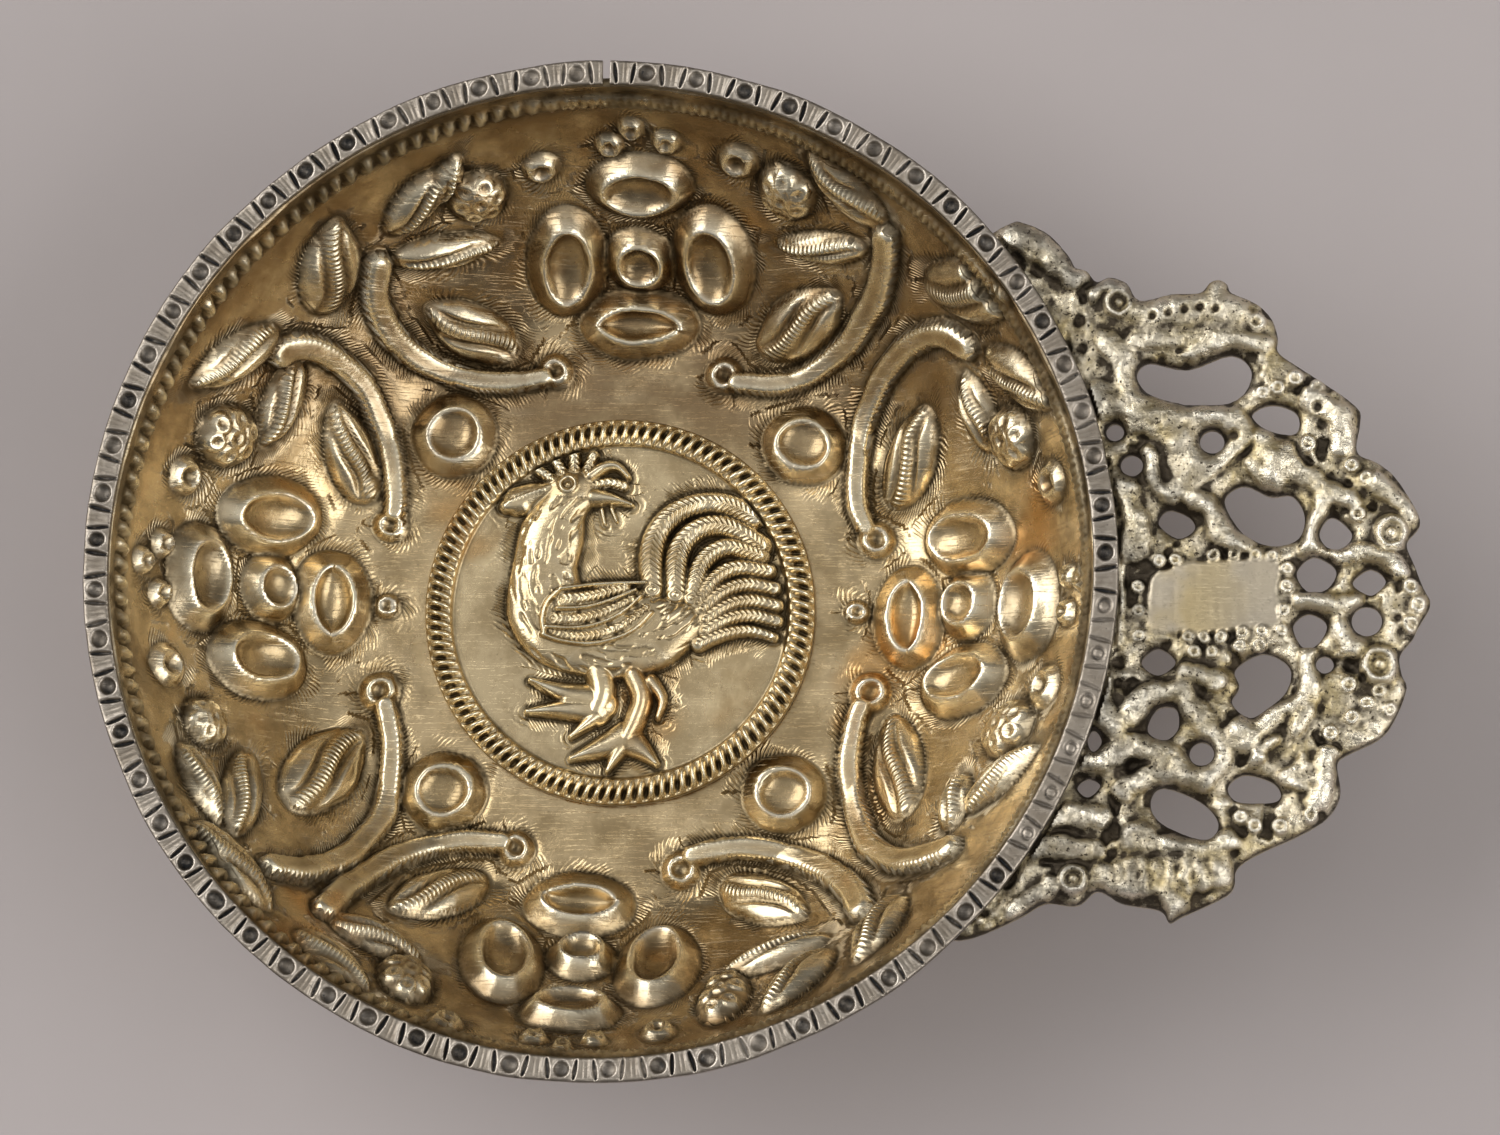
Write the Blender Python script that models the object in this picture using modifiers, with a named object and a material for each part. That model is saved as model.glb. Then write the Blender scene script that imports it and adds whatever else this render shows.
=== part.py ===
"""Charka: a shallow silver-gilt dram cup with a cast openwork handle.

Four soldered pieces: the raised bowl with its chased flowers, the roundel with a cockerel
that lies on the floor, the stamped strip round the lip, and the flat handle.
Metres, +Z up. The cup stands on the origin and the handle points along +X.
"""

import math

import bmesh
import bpy
import numpy as np
from mathutils import Matrix, Vector
from mathutils.geometry import interpolate_bezier

# Driving dimensions
RIM_RADIUS = 0.0460
STRIP_WIDTH = 0.0022
STRIP_THICKNESS = 0.0009
STRIP_SEAM = 0.0007
STRIP_BEVEL = 0.0002
BOWL_DEPTH = 0.0230
FLOOR_RADIUS = 0.0265
FOOT_CURVE = 0.0030
LIP_LEAN = 0.0013
SHEET = 0.0008
ROUNDEL_RADIUS = 0.0178
ROUNDEL_THICKNESS = 0.0006
HANDLE_REACH = 0.0275
HANDLE_SPAN = 0.0644
HANDLE_THICKNESS = 0.0020
HANDLE_BEVEL = 0.0003
HEEL_DEPTH = 0.0040
HEEL_THICKNESS = 0.0012
SEAT = 0.0003

# How far up the wall its curve turns, and how thin the heel's foot is beside its top
WALL_FULLNESS = 0.55
HEEL_TAPER = 0.6

# Chased work on the bowl: heights, the band under the lip with its rib, the stems' width,
# and how much of the relief shows as hollows behind the sheet
PETAL_HEIGHT = 0.00175
CORNER_HEIGHT = 0.0014
LEAF_HEIGHT = 0.0015
STEM_HEIGHT = 0.00115
RING_HEIGHT = 0.00075
LIP_BAND = 0.0046
RIB_DEPTH = 0.0027
RIB_WIDTH = 0.0023
RIB_HEIGHT = 0.0005
STEM_WIDTH = 0.0024
BACK_SHARE = 0.7

# Shapes of the motifs: where a boss's ring lies and how deep its dish is, a stem's width at its knob
# and at its leaves, all as shares, and the powers that round a boss's shoulder, its dish and a dome
BOSS_RING = 0.64
BOSS_HOLLOW = 0.5
STEM_ENDS = (0.72, 1.15)
SHOULDER_POWER = 1.7
DISH_POWER = 2.4
DOME_POWER = 0.55

# Relief on the roundel: the rope's middle and the field's edge are measured in from its rim
COCKEREL_HEIGHT = 0.0014
ROPE_HEIGHT = 0.0008
ROPE_WIDTH = 0.0016
ROPE_INSET = 0.0013
EDGE_HEIGHT = 0.0004
FIELD_INSET = 0.0026

# Cast relief on the handle
TABLET_HEIGHT = 0.0005
BEAD_FLATNESS = 0.7
UNDER_STRIP = 0.00006

# Stamped dents of the lip strip, left off the plain stretch beside the handle
STAMP_COUNT = 66
STAMP_RADIUS = 0.00072
STAMP_DEPTH = 0.0003
STAMP_SIDES = 6
PLAIN_STRETCH = (math.radians(-37.0), math.radians(-1.0))

# Fineness of the meshes
BOWL_STEPS = 320
BOWL_RING_STEP = 0.0005
BOWL_TRIANGLES = 6300
PLAIN_FLOOR_SHARES = (0.0, 0.3, 0.6, 0.9)
ROUNDEL_STEPS = 160
ROUNDEL_RING_STEP = 0.00035
ROUNDEL_TRIANGLES = 1900
STRIP_STEPS = 64
HEEL_STEPS = 16
HEEL_RINGS = 4
PLATE_STEPS = 2
BEAD_SIDES = 6
BEAD_RINGS = 4
CORNER_ANGLE = math.radians(30.0)
CAST_EDGE_ANGLE = math.radians(60.0)
FLOOR_SAMPLES = 40
WALL_SAMPLES = 200
CUTTER_STRIDE = 8

# The bowl's ornament is drawn in millimetres on the sheet's flat blank, from its centre, with the
# handle along +x. Dished bosses are (x, y, half width, half height): the middle and the petals of the
# flowers beside the handle, at the back, opposite the handle and at the front.
FLOWER_BOSSES = [
    (32.9, 0.2, 3.1, 3.1), (33.5, 6.5, 5.1, 3.3), (33.0, -7.1, 5.0, 3.2), (26.4, -0.4, 3.2, 4.3),
    (41.8, -1.2, 4.3, 5.0),
    (1.6, 33.4, 3.1, 3.1), (-5.3, 33.5, 3.5, 5.2), (8.8, 33.6, 3.8, 5.2), (2.2, 41.7, 4.9, 3.5),
    (1.4, 26.9, 4.9, 3.1),
    (-32.9, 1.9, 3.0, 3.0), (-33.6, 8.5, 5.4, 3.5), (-34.4, -5.4, 5.0, 3.5), (-26.6, 0.9, 3.4, 4.4),
    (-41.5, 1.8, 4.0, 5.0),
    (-2.9, -33.6, 2.9, 2.9), (-3.4, -27.1, 4.6, 3.1), (-10.4, -35.2, 3.8, 5.5), (4.4, -35.2, 3.8, 5.5),
    (-3.5, -42.5, 4.7, 3.5),
]
CORNER_BOSSES = [
    (-15.5, 16.5, 3.6, 3.5), (16.5, 15.5, 3.5, 3.3), (-15.9, -16.5, 3.6, 3.3), (15.1, -16.5, 3.5, 3.3),
]
# Small punched rings as (x, y, radius), with the knobs at the stems' ends
RINGS = [
    (-0.7, 46.6, 1.4), (1.8, 49.0, 1.4), (5.4, 47.1, 1.5), (-7.7, 43.9, 1.7), (12.8, 44.9, 2.0),
    (-46.6, 4.5, 1.4), (-49.5, 2.2, 1.4), (-46.6, -0.8, 1.4), (-43.9, 11.9, 1.9), (-45.5, -8.1, 2.2),
    (48.7, 0.8, 1.3), (51.6, 0.0, 1.3), (48.3, -3.1, 1.4), (46.0, 10.8, 2.1), (44.9, -10.4, 2.3),
    (-7.0, -48.3, 1.4), (-0.6, -48.3, 1.4), (-3.9, -51.0, 1.2), (-16.2, -47.2, 1.7), (5.8, -46.4, 1.8),
    (-21.5, 0.6, 1.1), (21.5, 0.2, 1.0),
    (-6.3, 22.6, 1.5), (9.1, 22.0, 1.6), (-21.3, 8.1, 1.4), (-22.0, -7.3, 1.7),
    (23.2, 6.8, 1.6), (22.8, -7.3, 1.7), (-9.3, -21.7, 1.6), (5.8, -23.6, 1.7),
]
# Stems, from the knob to the leaves
STEMS = [
    [(-7.4, 22.0), (-14.7, 21.8), (-20.9, 25.1), (-24.4, 30.9), (-24.2, 33.6)],
    [(10.3, 21.3), (16.6, 21.8), (23.2, 27.1), (27.8, 34.0), (28.4, 36.8)],
    [(-21.0, 9.4), (-21.3, 15.1), (-24.4, 21.3), (-29.8, 25.1), (-33.8, 24.6)],
    [(-21.4, -8.7), (-20.5, -13.1), (-21.7, -19.3), (-25.5, -24.7), (-31.3, -28.0), (-34.0, -28.5)],
    [(22.3, 8.0), (21.3, 12.4), (22.8, 18.9), (27.5, 24.7), (33.6, 26.7), (36.0, 25.3)],
    [(22.0, -8.7), (20.9, -13.5), (22.4, -20.1), (27.5, -25.5), (34.4, -26.3)],
    [(-10.6, -21.1), (-17.8, -21.8), (-24.0, -26.7), (-28.2, -32.1)],
    [(6.8, -22.3), (13.9, -21.7), (20.1, -24.8), (24.7, -30.9)],
]
# Buds and leaves as (x, y, half length, half width, turn of the tip in degrees)
BUDS = [
    (-14.1, 26.4, 4.9, 2.6, 153.0), (16.9, 27.1, 5.4, 2.8, 35.0), (-25.2, 14.8, 5.0, 2.5, 113.0),
    (-27.5, -15.5, 6.0, 3.3, 48.0), (27.1, 14.4, 5.2, 2.5, 62.0), (26.0, -14.7, 5.5, 2.7, 102.0),
    (-16.6, -27.1, 5.3, 2.6, 210.0), (13.9, -27.1, 5.0, 2.6, -30.0), (-29.4, 33.9, 5.4, 3.3, 88.0),
    (38.8, 31.4, 6.8, 3.6, -4.0), (-39.4, -30.8, 6.2, 3.5, -42.0), (27.8, -35.2, 5.0, 2.6, 252.0),
    (-17.2, 34.8, 5.2, 1.9, 6.0), (-20.4, 41.0, 4.8, 2.3, 51.0), (-17.6, 43.3, 3.2, 1.6, 70.0),
    (20.5, 35.2, 5.0, 1.6, 180.0), (25.0, 42.3, 5.5, 2.7, 129.0), (-39.4, 24.1, 6.0, 2.5, 209.0),
    (-33.1, 19.6, 4.5, 2.1, 250.0), (-42.2, -21.0, 4.7, 2.1, -63.0), (-37.0, -20.5, 5.4, 2.3, -104.0),
    (43.7, 21.8, 6.0, 2.7, -28.0), (36.0, 18.5, 4.0, 2.1, 105.0), (40.4, -19.4, 5.6, 1.9, 22.0),
    (34.0, -20.3, 3.2, 1.8, 80.0), (-23.0, -34.8, 5.0, 2.3, -18.0), (-28.3, -40.6, 5.2, 2.5, -46.0),
    (16.4, -35.2, 5.5, 1.8, -161.0), (19.6, -40.4, 5.4, 2.6, -121.0),
]
# Berries as (x, y, half width, half height)
BERRIES = [
    (-14.3, 41.0, 3.1, 3.0), (17.8, 41.6, 3.2, 3.4), (-39.2, 16.2, 3.7, 3.1), (-41.0, -13.4, 2.7, 2.6),
    (40.7, 15.7, 3.3, 3.2), (40.2, -13.8, 3.8, 3.2), (-20.2, -40.6, 3.1, 4.0), (12.0, -41.4, 2.7, 4.5),
]

# Cockerel on the roundel, looking back over its tail, drawn in millimetres so that its outermost
# point touches the field's edge: (points, half widths at both ends, share of its height)
COCKEREL = [
    ([(-4.8, 11.2), (-6.2, 7.4), (-6.9, 3.2), (-6.3, -0.8)], (2.5, 3.7), 0.85),
    ([(-6.2, -0.9), (-2.6, -2.0), (1.6, -2.0), (4.6, -1.6)], (3.7, 3.2), 0.85),
    ([(-6.2, -0.6), (-2.6, -1.1), (1.0, -0.6), (4.4, 0.4)], (2.2, 0.8), 1.1),
    ([(-2.4, 10.4), (-0.6, 10.2), (1.1, 9.7)], (0.9, 0.2), 0.75),
    ([(-2.9, 12.5), (-1.6, 13.4), (-0.4, 13.5), (0.5, 12.3)], (0.8, 0.3), 0.8),
    ([(-7.3, 10.9), (-11.2, 9.8)], (1.05, 0.2), 0.7),
    ([(-6.2, 12.4), (-7.3, 13.3)], (0.7, 0.5), 0.8),
    ([(-5.2, 12.8), (-5.8, 14.0)], (0.7, 0.5), 0.8),
    ([(-4.2, 13.0), (-4.3, 14.5)], (0.7, 0.5), 0.8),
    ([(-3.2, 12.9), (-2.7, 14.3)], (0.7, 0.5), 0.8),
    ([(2.3, 1.8), (2.1, 5.2), (2.9, 7.5), (5.2, 9.9), (8.4, 10.9), (12.3, 7.9)], (0.95, 0.5), 0.8),
    ([(4.1, 1.6), (4.4, 5.4), (6.0, 7.9), (8.7, 8.9), (11.1, 7.9), (12.7, 6.0)], (0.9, 0.5), 0.8),
    ([(5.8, 0.9), (6.7, 4.7), (8.7, 6.9), (11.1, 6.6), (12.9, 4.9)], (0.85, 0.5), 0.8),
    ([(6.6, 1.0), (8.2, 3.6), (10.5, 5.1), (13.1, 4.0)], (0.75, 0.5), 0.78),
    ([(7.4, 0.6), (9.0, 2.6), (11.0, 3.6), (13.6, 2.7)], (0.75, 0.5), 0.78),
    ([(7.8, -0.4), (10.7, 1.9), (13.5, 1.6), (14.4, 0.1)], (0.75, 0.5), 0.75),
    ([(7.8, -1.6), (10.7, 0.1), (13.3, -0.3), (14.2, -1.8)], (0.75, 0.5), 0.75),
    ([(7.0, -3.4), (9.9, -2.0), (12.9, -2.0), (14.1, -3.4)], (0.75, 0.5), 0.72),
    ([(-0.9, -5.8), (-2.2, -7.2), (-3.9, -8.0)], (1.2, 0.85), 0.78),
    ([(-2.4, -6.6), (-5.0, -6.2), (-7.9, -7.6)], (0.85, 0.2), 0.7),
    ([(-2.4, -8.3), (-4.6, -8.7), (-8.1, -9.9)], (0.95, 0.2), 0.7),
    ([(1.2, -5.8), (1.6, -8.4), (1.1, -11.2)], (0.9, 0.75), 0.75),
    ([(2.6, -6.0), (4.1, -7.7), (3.6, -9.8)], (0.65, 0.2), 0.65),
    ([(0.8, -11.3), (-4.1, -13.8)], (0.95, 0.2), 0.68),
    ([(0.6, -11.6), (-1.2, -15.0)], (0.85, 0.2), 0.68),
    ([(1.0, -11.3), (3.7, -14.1)], (0.85, 0.2), 0.68),
]

# Handle outline in millimetres: x beyond the strip's outer edge, y from the cup's middle line.
# The first and the last point lie inside the wall, where the plate is cut to fit it.
OUTLINE = [
    (-14.5, 28.5), (-10.0, 31.3), (-8.6, 31.4), (-6.4, 30.4), (-4.6, 28.4), (-4.0, 27.3),
    (-3.0, 27.0), (-2.1, 26.1), (-0.9, 26.5), (0.6, 25.9), (1.7, 24.3), (4.5, 24.9),
    (7.0, 25.0), (7.9, 25.9), (8.7, 26.2), (9.5, 25.8), (9.9, 25.0), (12.0, 24.1),
    (13.4, 22.8), (14.0, 21.0), (14.1, 19.6), (17.0, 17.6), (20.9, 14.8), (21.3, 13.4),
    (21.0, 10.7), (22.8, 9.7), (24.4, 8.4), (25.8, 6.2), (26.6, 4.2), (25.4, 2.5),
    (26.1, 0.5), (26.9, -1.6), (27.5, -3.0), (26.5, -4.9), (25.9, -6.1), (24.8, -7.6),
    (25.0, -9.4), (25.4, -10.5), (24.4, -13.2), (23.0, -15.0), (20.0, -16.5), (19.3, -17.4),
    (19.6, -20.0), (18.5, -22.0), (16.0, -23.6), (12.3, -25.3), (10.5, -26.6), (10.3, -28.1),
    (9.4, -29.1), (5.6, -30.9), (4.6, -31.4), (3.8, -30.3), (0.5, -29.7), (-1.7, -28.6),
    (-3.5, -29.9), (-6.3, -29.7), (-9.0, -31.2), (-14.0, -33.0), (-16.5, -31.0),
]
HIDDEN_POINTS = (0, len(OUTLINE) - 1)

# Pierced openings of the handle, first the shaped ones, then the round ones as (x, y, radius)
PIERCINGS = [
    [(1.5, 17.4), (2.5, 18.8), (6.0, 18.2), (9.9, 19.5), (11.7, 17.9), (10.4, 15.4), (6.6, 14.9),
     (3.0, 15.7)],
    [(11.7, 14.1), (13.5, 15.0), (15.7, 14.2), (15.6, 12.3), (13.0, 12.7)],
    [(3.5, 4.2), (4.3, 5.5), (6.2, 4.9), (6.7, 3.7), (5.2, 2.9)],
    [(9.3, 6.3), (11.0, 7.7), (13.4, 6.7), (15.3, 6.8), (16.4, 5.0), (15.9, 2.9), (13.6, 2.2),
     (11.0, 3.3)],
    [(17.7, 3.4), (18.8, 4.9), (20.6, 3.4), (19.8, 2.0), (18.4, 2.1)],
    [(15.7, -0.1), (17.2, 1.3), (19.2, 0.1), (18.4, -1.6), (16.6, -1.8)],
    [(20.6, -1.1), (22.2, 0.2), (23.6, -0.9), (22.3, -2.2)],
    [(15.4, -4.9), (16.8, -3.8), (18.4, -4.8), (17.6, -6.6), (16.2, -6.8)],
    [(2.0, -8.2), (3.5, -6.9), (5.1, -8.2), (3.5, -9.4)],
    [(10.3, -8.8), (12.8, -7.4), (15.1, -8.6), (14.9, -10.7), (13.4, -12.2), (11.6, -13.2),
     (10.0, -11.8), (10.7, -10.4)],
    [(2.6, -14.3), (3.4, -12.4), (5.1, -12.3), (5.3, -14.2), (4.0, -15.2)],
    [(-2.7, -15.1), (-2.1, -14.2), (-1.4, -15.3), (-2.2, -16.3)],
    [(-3.6, -19.4), (-2.6, -18.6), (-1.5, -19.2), (-2.6, -20.3)],
    [(9.7, -19.3), (11.2, -18.2), (13.8, -19.0), (14.3, -20.4), (12.5, -20.8), (10.4, -20.6)],
    [(3.0, -20.2), (4.2, -19.4), (7.4, -20.7), (8.9, -22.6), (7.9, -24.1), (5.0, -23.2), (3.2, -21.9)],
]
ROUND_PIERCINGS = [
    (-0.4, 12.5, 0.8),
    (8.2, 11.6, 1.1),
    (1.1, 9.5, 1.0),
    (21.9, -4.5, 1.35),
    (18.2, -8.4, 0.8),
    (7.4, -16.4, 1.1),
]

# Cast relief on the handle: beast heads, scroll eyes and beads as (x, y, radius),
# bodies and limbs as (points, half width)
BOSSES = [
    (-0.1, 24.0, 1.8), (-3.7, -28.0, 1.7), (11.9, 22.3, 1.3), (24.0, 3.3, 1.8), (23.2, -8.6, 1.8),
    (12.5, 16.0, 0.65), (14.0, 16.6, 0.7), (15.8, 17.1, 0.7), (17.4, 16.5, 0.7), (19.2, 15.3, 0.7),
    (20.4, 9.4, 0.7), (22.0, 8.2, 0.7), (21.0, 5.0, 0.8), (25.7, -1.6, 0.8), (26.4, -3.2, 0.7),
    (25.8, -5.1, 0.75), (20.2, -10.8, 0.8), (23.0, -11.2, 0.7), (22.2, -12.1, 0.7), (20.8, -13.2, 0.7),
    (19.0, -14.4, 0.7), (15.6, -17.8, 1.4), (14.4, -22.9, 0.8), (11.0, -22.4, 0.7), (16.6, -22.4, 0.6),
]
TABLET_BEADS = [
    (14.9, 0.0), (14.9, -1.6), (14.7, -3.7), (14.5, -5.5), (12.1, 1.2), (10.2, 1.3), (8.4, 1.2),
    (12.7, -5.9), (10.9, -5.9), (9.1, -6.1), (7.6, -6.1), (6.2, -6.1),
]
TABLET_BEAD_RADIUS = 0.6
RIDGES = [
    ([(-8.6, 30.3), (-6.8, 29.2), (-5.2, 27.2), (-3.2, 25.6)], 0.65),
    ([(1.8, 23.3), (5.0, 23.6), (8.4, 23.6), (11.0, 22.9)], 0.9),
    ([(0.4, 19.9), (3.6, 19.9), (7.6, 20.1), (11.0, 20.7)], 0.65),
    ([(18.6, 14.2), (19.9, 12.6), (19.9, 10.4)], 0.6),
    ([(10.7, 12.5), (9.4, 10.1), (6.6, 8.3), (3.6, 6.9)], 0.6),
    ([(6.9, 6.9), (8.2, 4.9), (9.7, 3.0)], 0.55),
    ([(17.0, 2.4), (17.1, 5.0), (18.6, 7.4)], 0.55),
    ([(9.3, -14.6), (9.1, -16.8), (7.4, -18.4)], 0.6),
    ([(15.8, -11.6), (15.0, -13.6), (17.0, -15.0)], 0.65),
    ([(18.5, -16.6), (18.3, -18.6), (18.1, -20.6)], 0.55),
    ([(-1.4, -27.6), (2.0, -27.6), (5.6, -27.5), (9.2, -27.2)], 0.9),
    ([(2.6, -24.6), (5.4, -25.4), (8.4, -25.6), (10.4, -24.6)], 0.65),
    ([(-5.4, -22.0), (-3.2, -22.0), (-1.4, -22.6)], 0.75),
    ([(-3.6, -17.3), (0.0, -17.2), (4.6, -17.0)], 0.55),
    ([(1.6, -13.6), (2.4, -11.6), (4.4, -10.9), (6.6, -12.2), (8.2, -14.0)], 0.5),
]
TABLET = [(3.1, -5.0), (3.0, -0.9), (6.4, 0.3), (13.9, 0.4), (13.8, -4.8)]

# Colours: linear red, green, blue
GILT = (0.42, 0.29, 0.11)
SILVER = (0.52, 0.50, 0.46)

LIP_Z = SHEET + BOWL_DEPTH
STRIP_Z = LIP_Z + SEAT
HANDLE_TOP = STRIP_Z - SEAT
LIP_RADIUS = RIM_RADIUS - STRIP_WIDTH


def clear_scene():
    for old in list(bpy.data.objects):
        bpy.data.objects.remove(old, do_unlink=True)


def make_collection(name):
    collection = bpy.data.collections.new(name)
    bpy.context.scene.collection.children.link(collection)
    return collection


def make_material(name, colour, roughness):
    material = bpy.data.materials.new(name)
    material.use_nodes = True
    shader = material.node_tree.nodes["Principled BSDF"]
    shader.inputs["Base Color"].default_value = (*colour, 1.0)
    shader.inputs["Metallic"].default_value = 1.0
    shader.inputs["Roughness"].default_value = roughness
    material.diffuse_color = (*colour, 1.0)
    return material


def link_object(name, data, collection):
    made = bpy.data.objects.new(name, data)
    collection.objects.link(made)
    return made


def mesh_from_bmesh(name, bm):
    bmesh.ops.recalc_face_normals(bm, faces=bm.faces)
    mesh = bpy.data.meshes.new(name)
    bm.to_mesh(mesh)
    bm.free()
    return mesh


def settled_mesh(source, weld=1e-6):
    """The evaluated mesh of an object, welded, with the object itself removed."""
    evaluated = source.evaluated_get(bpy.context.evaluated_depsgraph_get())
    mesh = bpy.data.meshes.new_from_object(evaluated)
    matrix = source.matrix_world.copy()
    bpy.data.objects.remove(source, do_unlink=True)
    bm = bmesh.new()
    bm.from_mesh(mesh)
    bmesh.ops.transform(bm, matrix=matrix, verts=bm.verts)
    bmesh.ops.remove_doubles(bm, verts=bm.verts, dist=weld)
    return mesh_from_bmesh(mesh.name, bm)


def turned_mesh(name, profile, steps, collection):
    """Revolve a closed profile of (r, z) points, axis to axis, about Z."""
    line = bpy.data.meshes.new(name)
    edges = [(i, i + 1) for i in range(len(profile) - 1)]
    line.from_pydata([(r, 0.0, z) for r, z in profile], edges, [])
    turned = link_object(name, line, collection)
    screw = turned.modifiers.new("turn", "SCREW")
    screw.steps = steps
    screw.render_steps = steps
    screw.use_merge_vertices = True
    screw.merge_threshold = 1e-6
    bpy.context.view_layer.update()
    return settled_mesh(turned)


def swept_section(name, section, start, sweep, steps):
    """Sweep a closed section of (r, z) points about Z through an angle, with closed ends."""
    bm = bmesh.new()
    corners = [bm.verts.new((r, 0.0, z)) for r, z in section]
    face = bm.faces.new(corners)
    bmesh.ops.rotate(bm, verts=bm.verts, cent=(0, 0, 0), matrix=Matrix.Rotation(start, 3, "Z"))
    bmesh.ops.spin(
        bm,
        geom=[face] + face.edges[:] + corners,
        cent=(0, 0, 0),
        axis=(0, 0, 1),
        angle=sweep,
        steps=steps,
    )
    return mesh_from_bmesh(name, bm)


def wall_line(offset):
    """Points (r, z) up the wall, floor edge to lip, moved outward from its inner face."""
    knots = [
        Vector((FLOOR_RADIUS, SHEET, 0.0)),
        Vector((FLOOR_RADIUS + FOOT_CURVE, SHEET, 0.0)),
        Vector((LIP_RADIUS - LIP_LEAN, SHEET + WALL_FULLNESS * BOWL_DEPTH, 0.0)),
        Vector((LIP_RADIUS, LIP_Z, 0.0)),
    ]
    points = np.array(interpolate_bezier(*knots, WALL_SAMPLES))[:, :2]
    along = np.gradient(points, axis=0)
    along /= np.linalg.norm(along, axis=1)[:, None]
    outward = np.column_stack([along[:, 1], -along[:, 0]])
    return points + offset * outward


class BowlFace:
    """The bowl's smooth inner face, addressed by arc length from its centre."""

    def __init__(self):
        floor = np.column_stack([
            np.linspace(0.0, FLOOR_RADIUS, FLOOR_SAMPLES, endpoint=False),
            np.full(FLOOR_SAMPLES, SHEET),
        ])
        self.points = np.vstack([floor, wall_line(0.0)])
        steps = np.linalg.norm(np.diff(self.points, axis=0), axis=1)
        self.arc = np.concatenate([[0.0], np.cumsum(steps)])
        along = np.gradient(self.points, axis=0)
        along /= np.linalg.norm(along, axis=1)[:, None]
        self.inward = np.column_stack([-along[:, 1], along[:, 0]])

    def line(self, arcs, offset):
        """Points (r, z) at the given arc lengths, moved outward by offset."""
        point = np.column_stack([np.interp(arcs, self.arc, self.points[:, k]) for k in (0, 1)])
        inward = np.column_stack([np.interp(arcs, self.arc, self.inward[:, k]) for k in (0, 1)])
        return point - offset * inward

    def nearest(self, radius, height):
        """Index of the face's closest sample to each (radius, height)."""
        found = np.empty(len(radius), dtype=int)
        for i, (r, z) in enumerate(zip(radius, height)):
            found[i] = np.argmin((self.points[:, 0] - r) ** 2 + (self.points[:, 1] - z) ** 2)
        return found


def smooth(t):
    t = np.clip(t, 0.0, 1.0)
    return t * t * (3.0 - 2.0 * t)


def farthest(points):
    """Distance of the outermost drawn point from the centre."""
    return max(math.hypot(x, y) for x, y in points)


def flowing(points, steps=4):
    """A smooth line through the points."""
    knots = np.array(points, dtype=float)
    before = np.vstack([2.0 * knots[0] - knots[1], knots[:-2]])
    start = knots[:-1]
    end = knots[1:]
    after = np.vstack([knots[2:], 2.0 * knots[-1] - knots[-2]])
    pieces = []
    for t in np.arange(steps) / steps:
        bend = (2.0 * before - 5.0 * start + 4.0 * end - after) * t**2
        bend += (3.0 * start - before - 3.0 * end + after) * t**3
        pieces.append(0.5 * (2.0 * start + (end - before) * t + bend))
    return np.vstack([np.stack(pieces, axis=1).reshape(-1, 2), knots[-1:]])


def oval_reach(x, y, cx, cy, half_x, half_y, turn=0.0):
    """0 at an oval's middle and 1 on its edge."""
    c = math.cos(turn)
    s = math.sin(turn)
    along = (x - cx) * c + (y - cy) * s
    across = (y - cy) * c - (x - cx) * s
    return np.hypot(along / half_x, across / half_y)


def dome(reach):
    """1 at the middle, rounding down to 0 where reach is 1."""
    return np.clip(1.0 - reach**2, 0.0, 1.0) ** DOME_POWER


def dished_boss(reach):
    """1 at a boss's ring, lower in the dish inside it, 0 at the boss's foot."""
    side = np.clip((reach - BOSS_RING) / (1.0 - BOSS_RING), 0.0, 1.0)
    inside = np.minimum(reach / BOSS_RING, 1.0)
    return 1.0 - side**SHOULDER_POWER - BOSS_HOLLOW * (1.0 - inside**DISH_POWER)


def stroke(x, y, points, half_widths):
    """A rounded ridge along a line, 1 high, with the half widths of its first and its last end."""
    line = flowing(points)
    lengths = np.linalg.norm(np.diff(line, axis=0), axis=1)
    runs = np.concatenate([[0.0], np.cumsum(lengths)]) / np.sum(lengths)
    nearest = np.full(x.shape, np.inf)
    share = np.zeros_like(x)
    for (ax, ay), (bx, by), start, end in zip(line[:-1], line[1:], runs[:-1], runs[1:]):
        dx = bx - ax
        dy = by - ay
        t = np.clip(((x - ax) * dx + (y - ay) * dy) / (dx * dx + dy * dy), 0.0, 1.0)
        gap = np.hypot(x - ax - t * dx, y - ay - t * dy)
        closer = gap < nearest
        nearest = np.where(closer, gap, nearest)
        share = np.where(closer, start + t * (end - start), share)
    width = half_widths[0] + (half_widths[1] - half_widths[0]) * share
    return dome(nearest / width)


def bowl_relief(arc, angle, lip_arc):
    """Height of the chased work over the bowl's inner face, arc lengths and all in metres."""
    scale = (lip_arc - LIP_BAND) / farthest([(x, y) for x, y, _ in RINGS])
    x = arc * np.cos(angle)
    y = arc * np.sin(angle)
    from_rib = np.abs(arc - (lip_arc - RIB_DEPTH))
    relief = RIB_HEIGHT * dome(from_rib / (0.5 * RIB_WIDTH))
    bosses = [(PETAL_HEIGHT, *row) for row in FLOWER_BOSSES]
    bosses += [(CORNER_HEIGHT, *row) for row in CORNER_BOSSES]
    bosses += [(RING_HEIGHT, cx, cy, radius, radius) for cx, cy, radius in RINGS]
    for height, *place in bosses:
        reach = oval_reach(x, y, *(scale * value for value in place))
        relief = np.maximum(relief, height * dished_boss(reach))
    buds = BUDS + [(*place, 0.0) for place in BERRIES]
    for *place, turn in buds:
        reach = oval_reach(x, y, *(scale * value for value in place), math.radians(turn))
        relief = np.maximum(relief, LEAF_HEIGHT * dome(reach))
    half_widths = [0.5 * STEM_WIDTH * end for end in STEM_ENDS]
    for points in STEMS:
        stem = stroke(x, y, scale * np.array(points), half_widths)
        relief = np.maximum(relief, STEM_HEIGHT * stem)
    return relief


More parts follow.
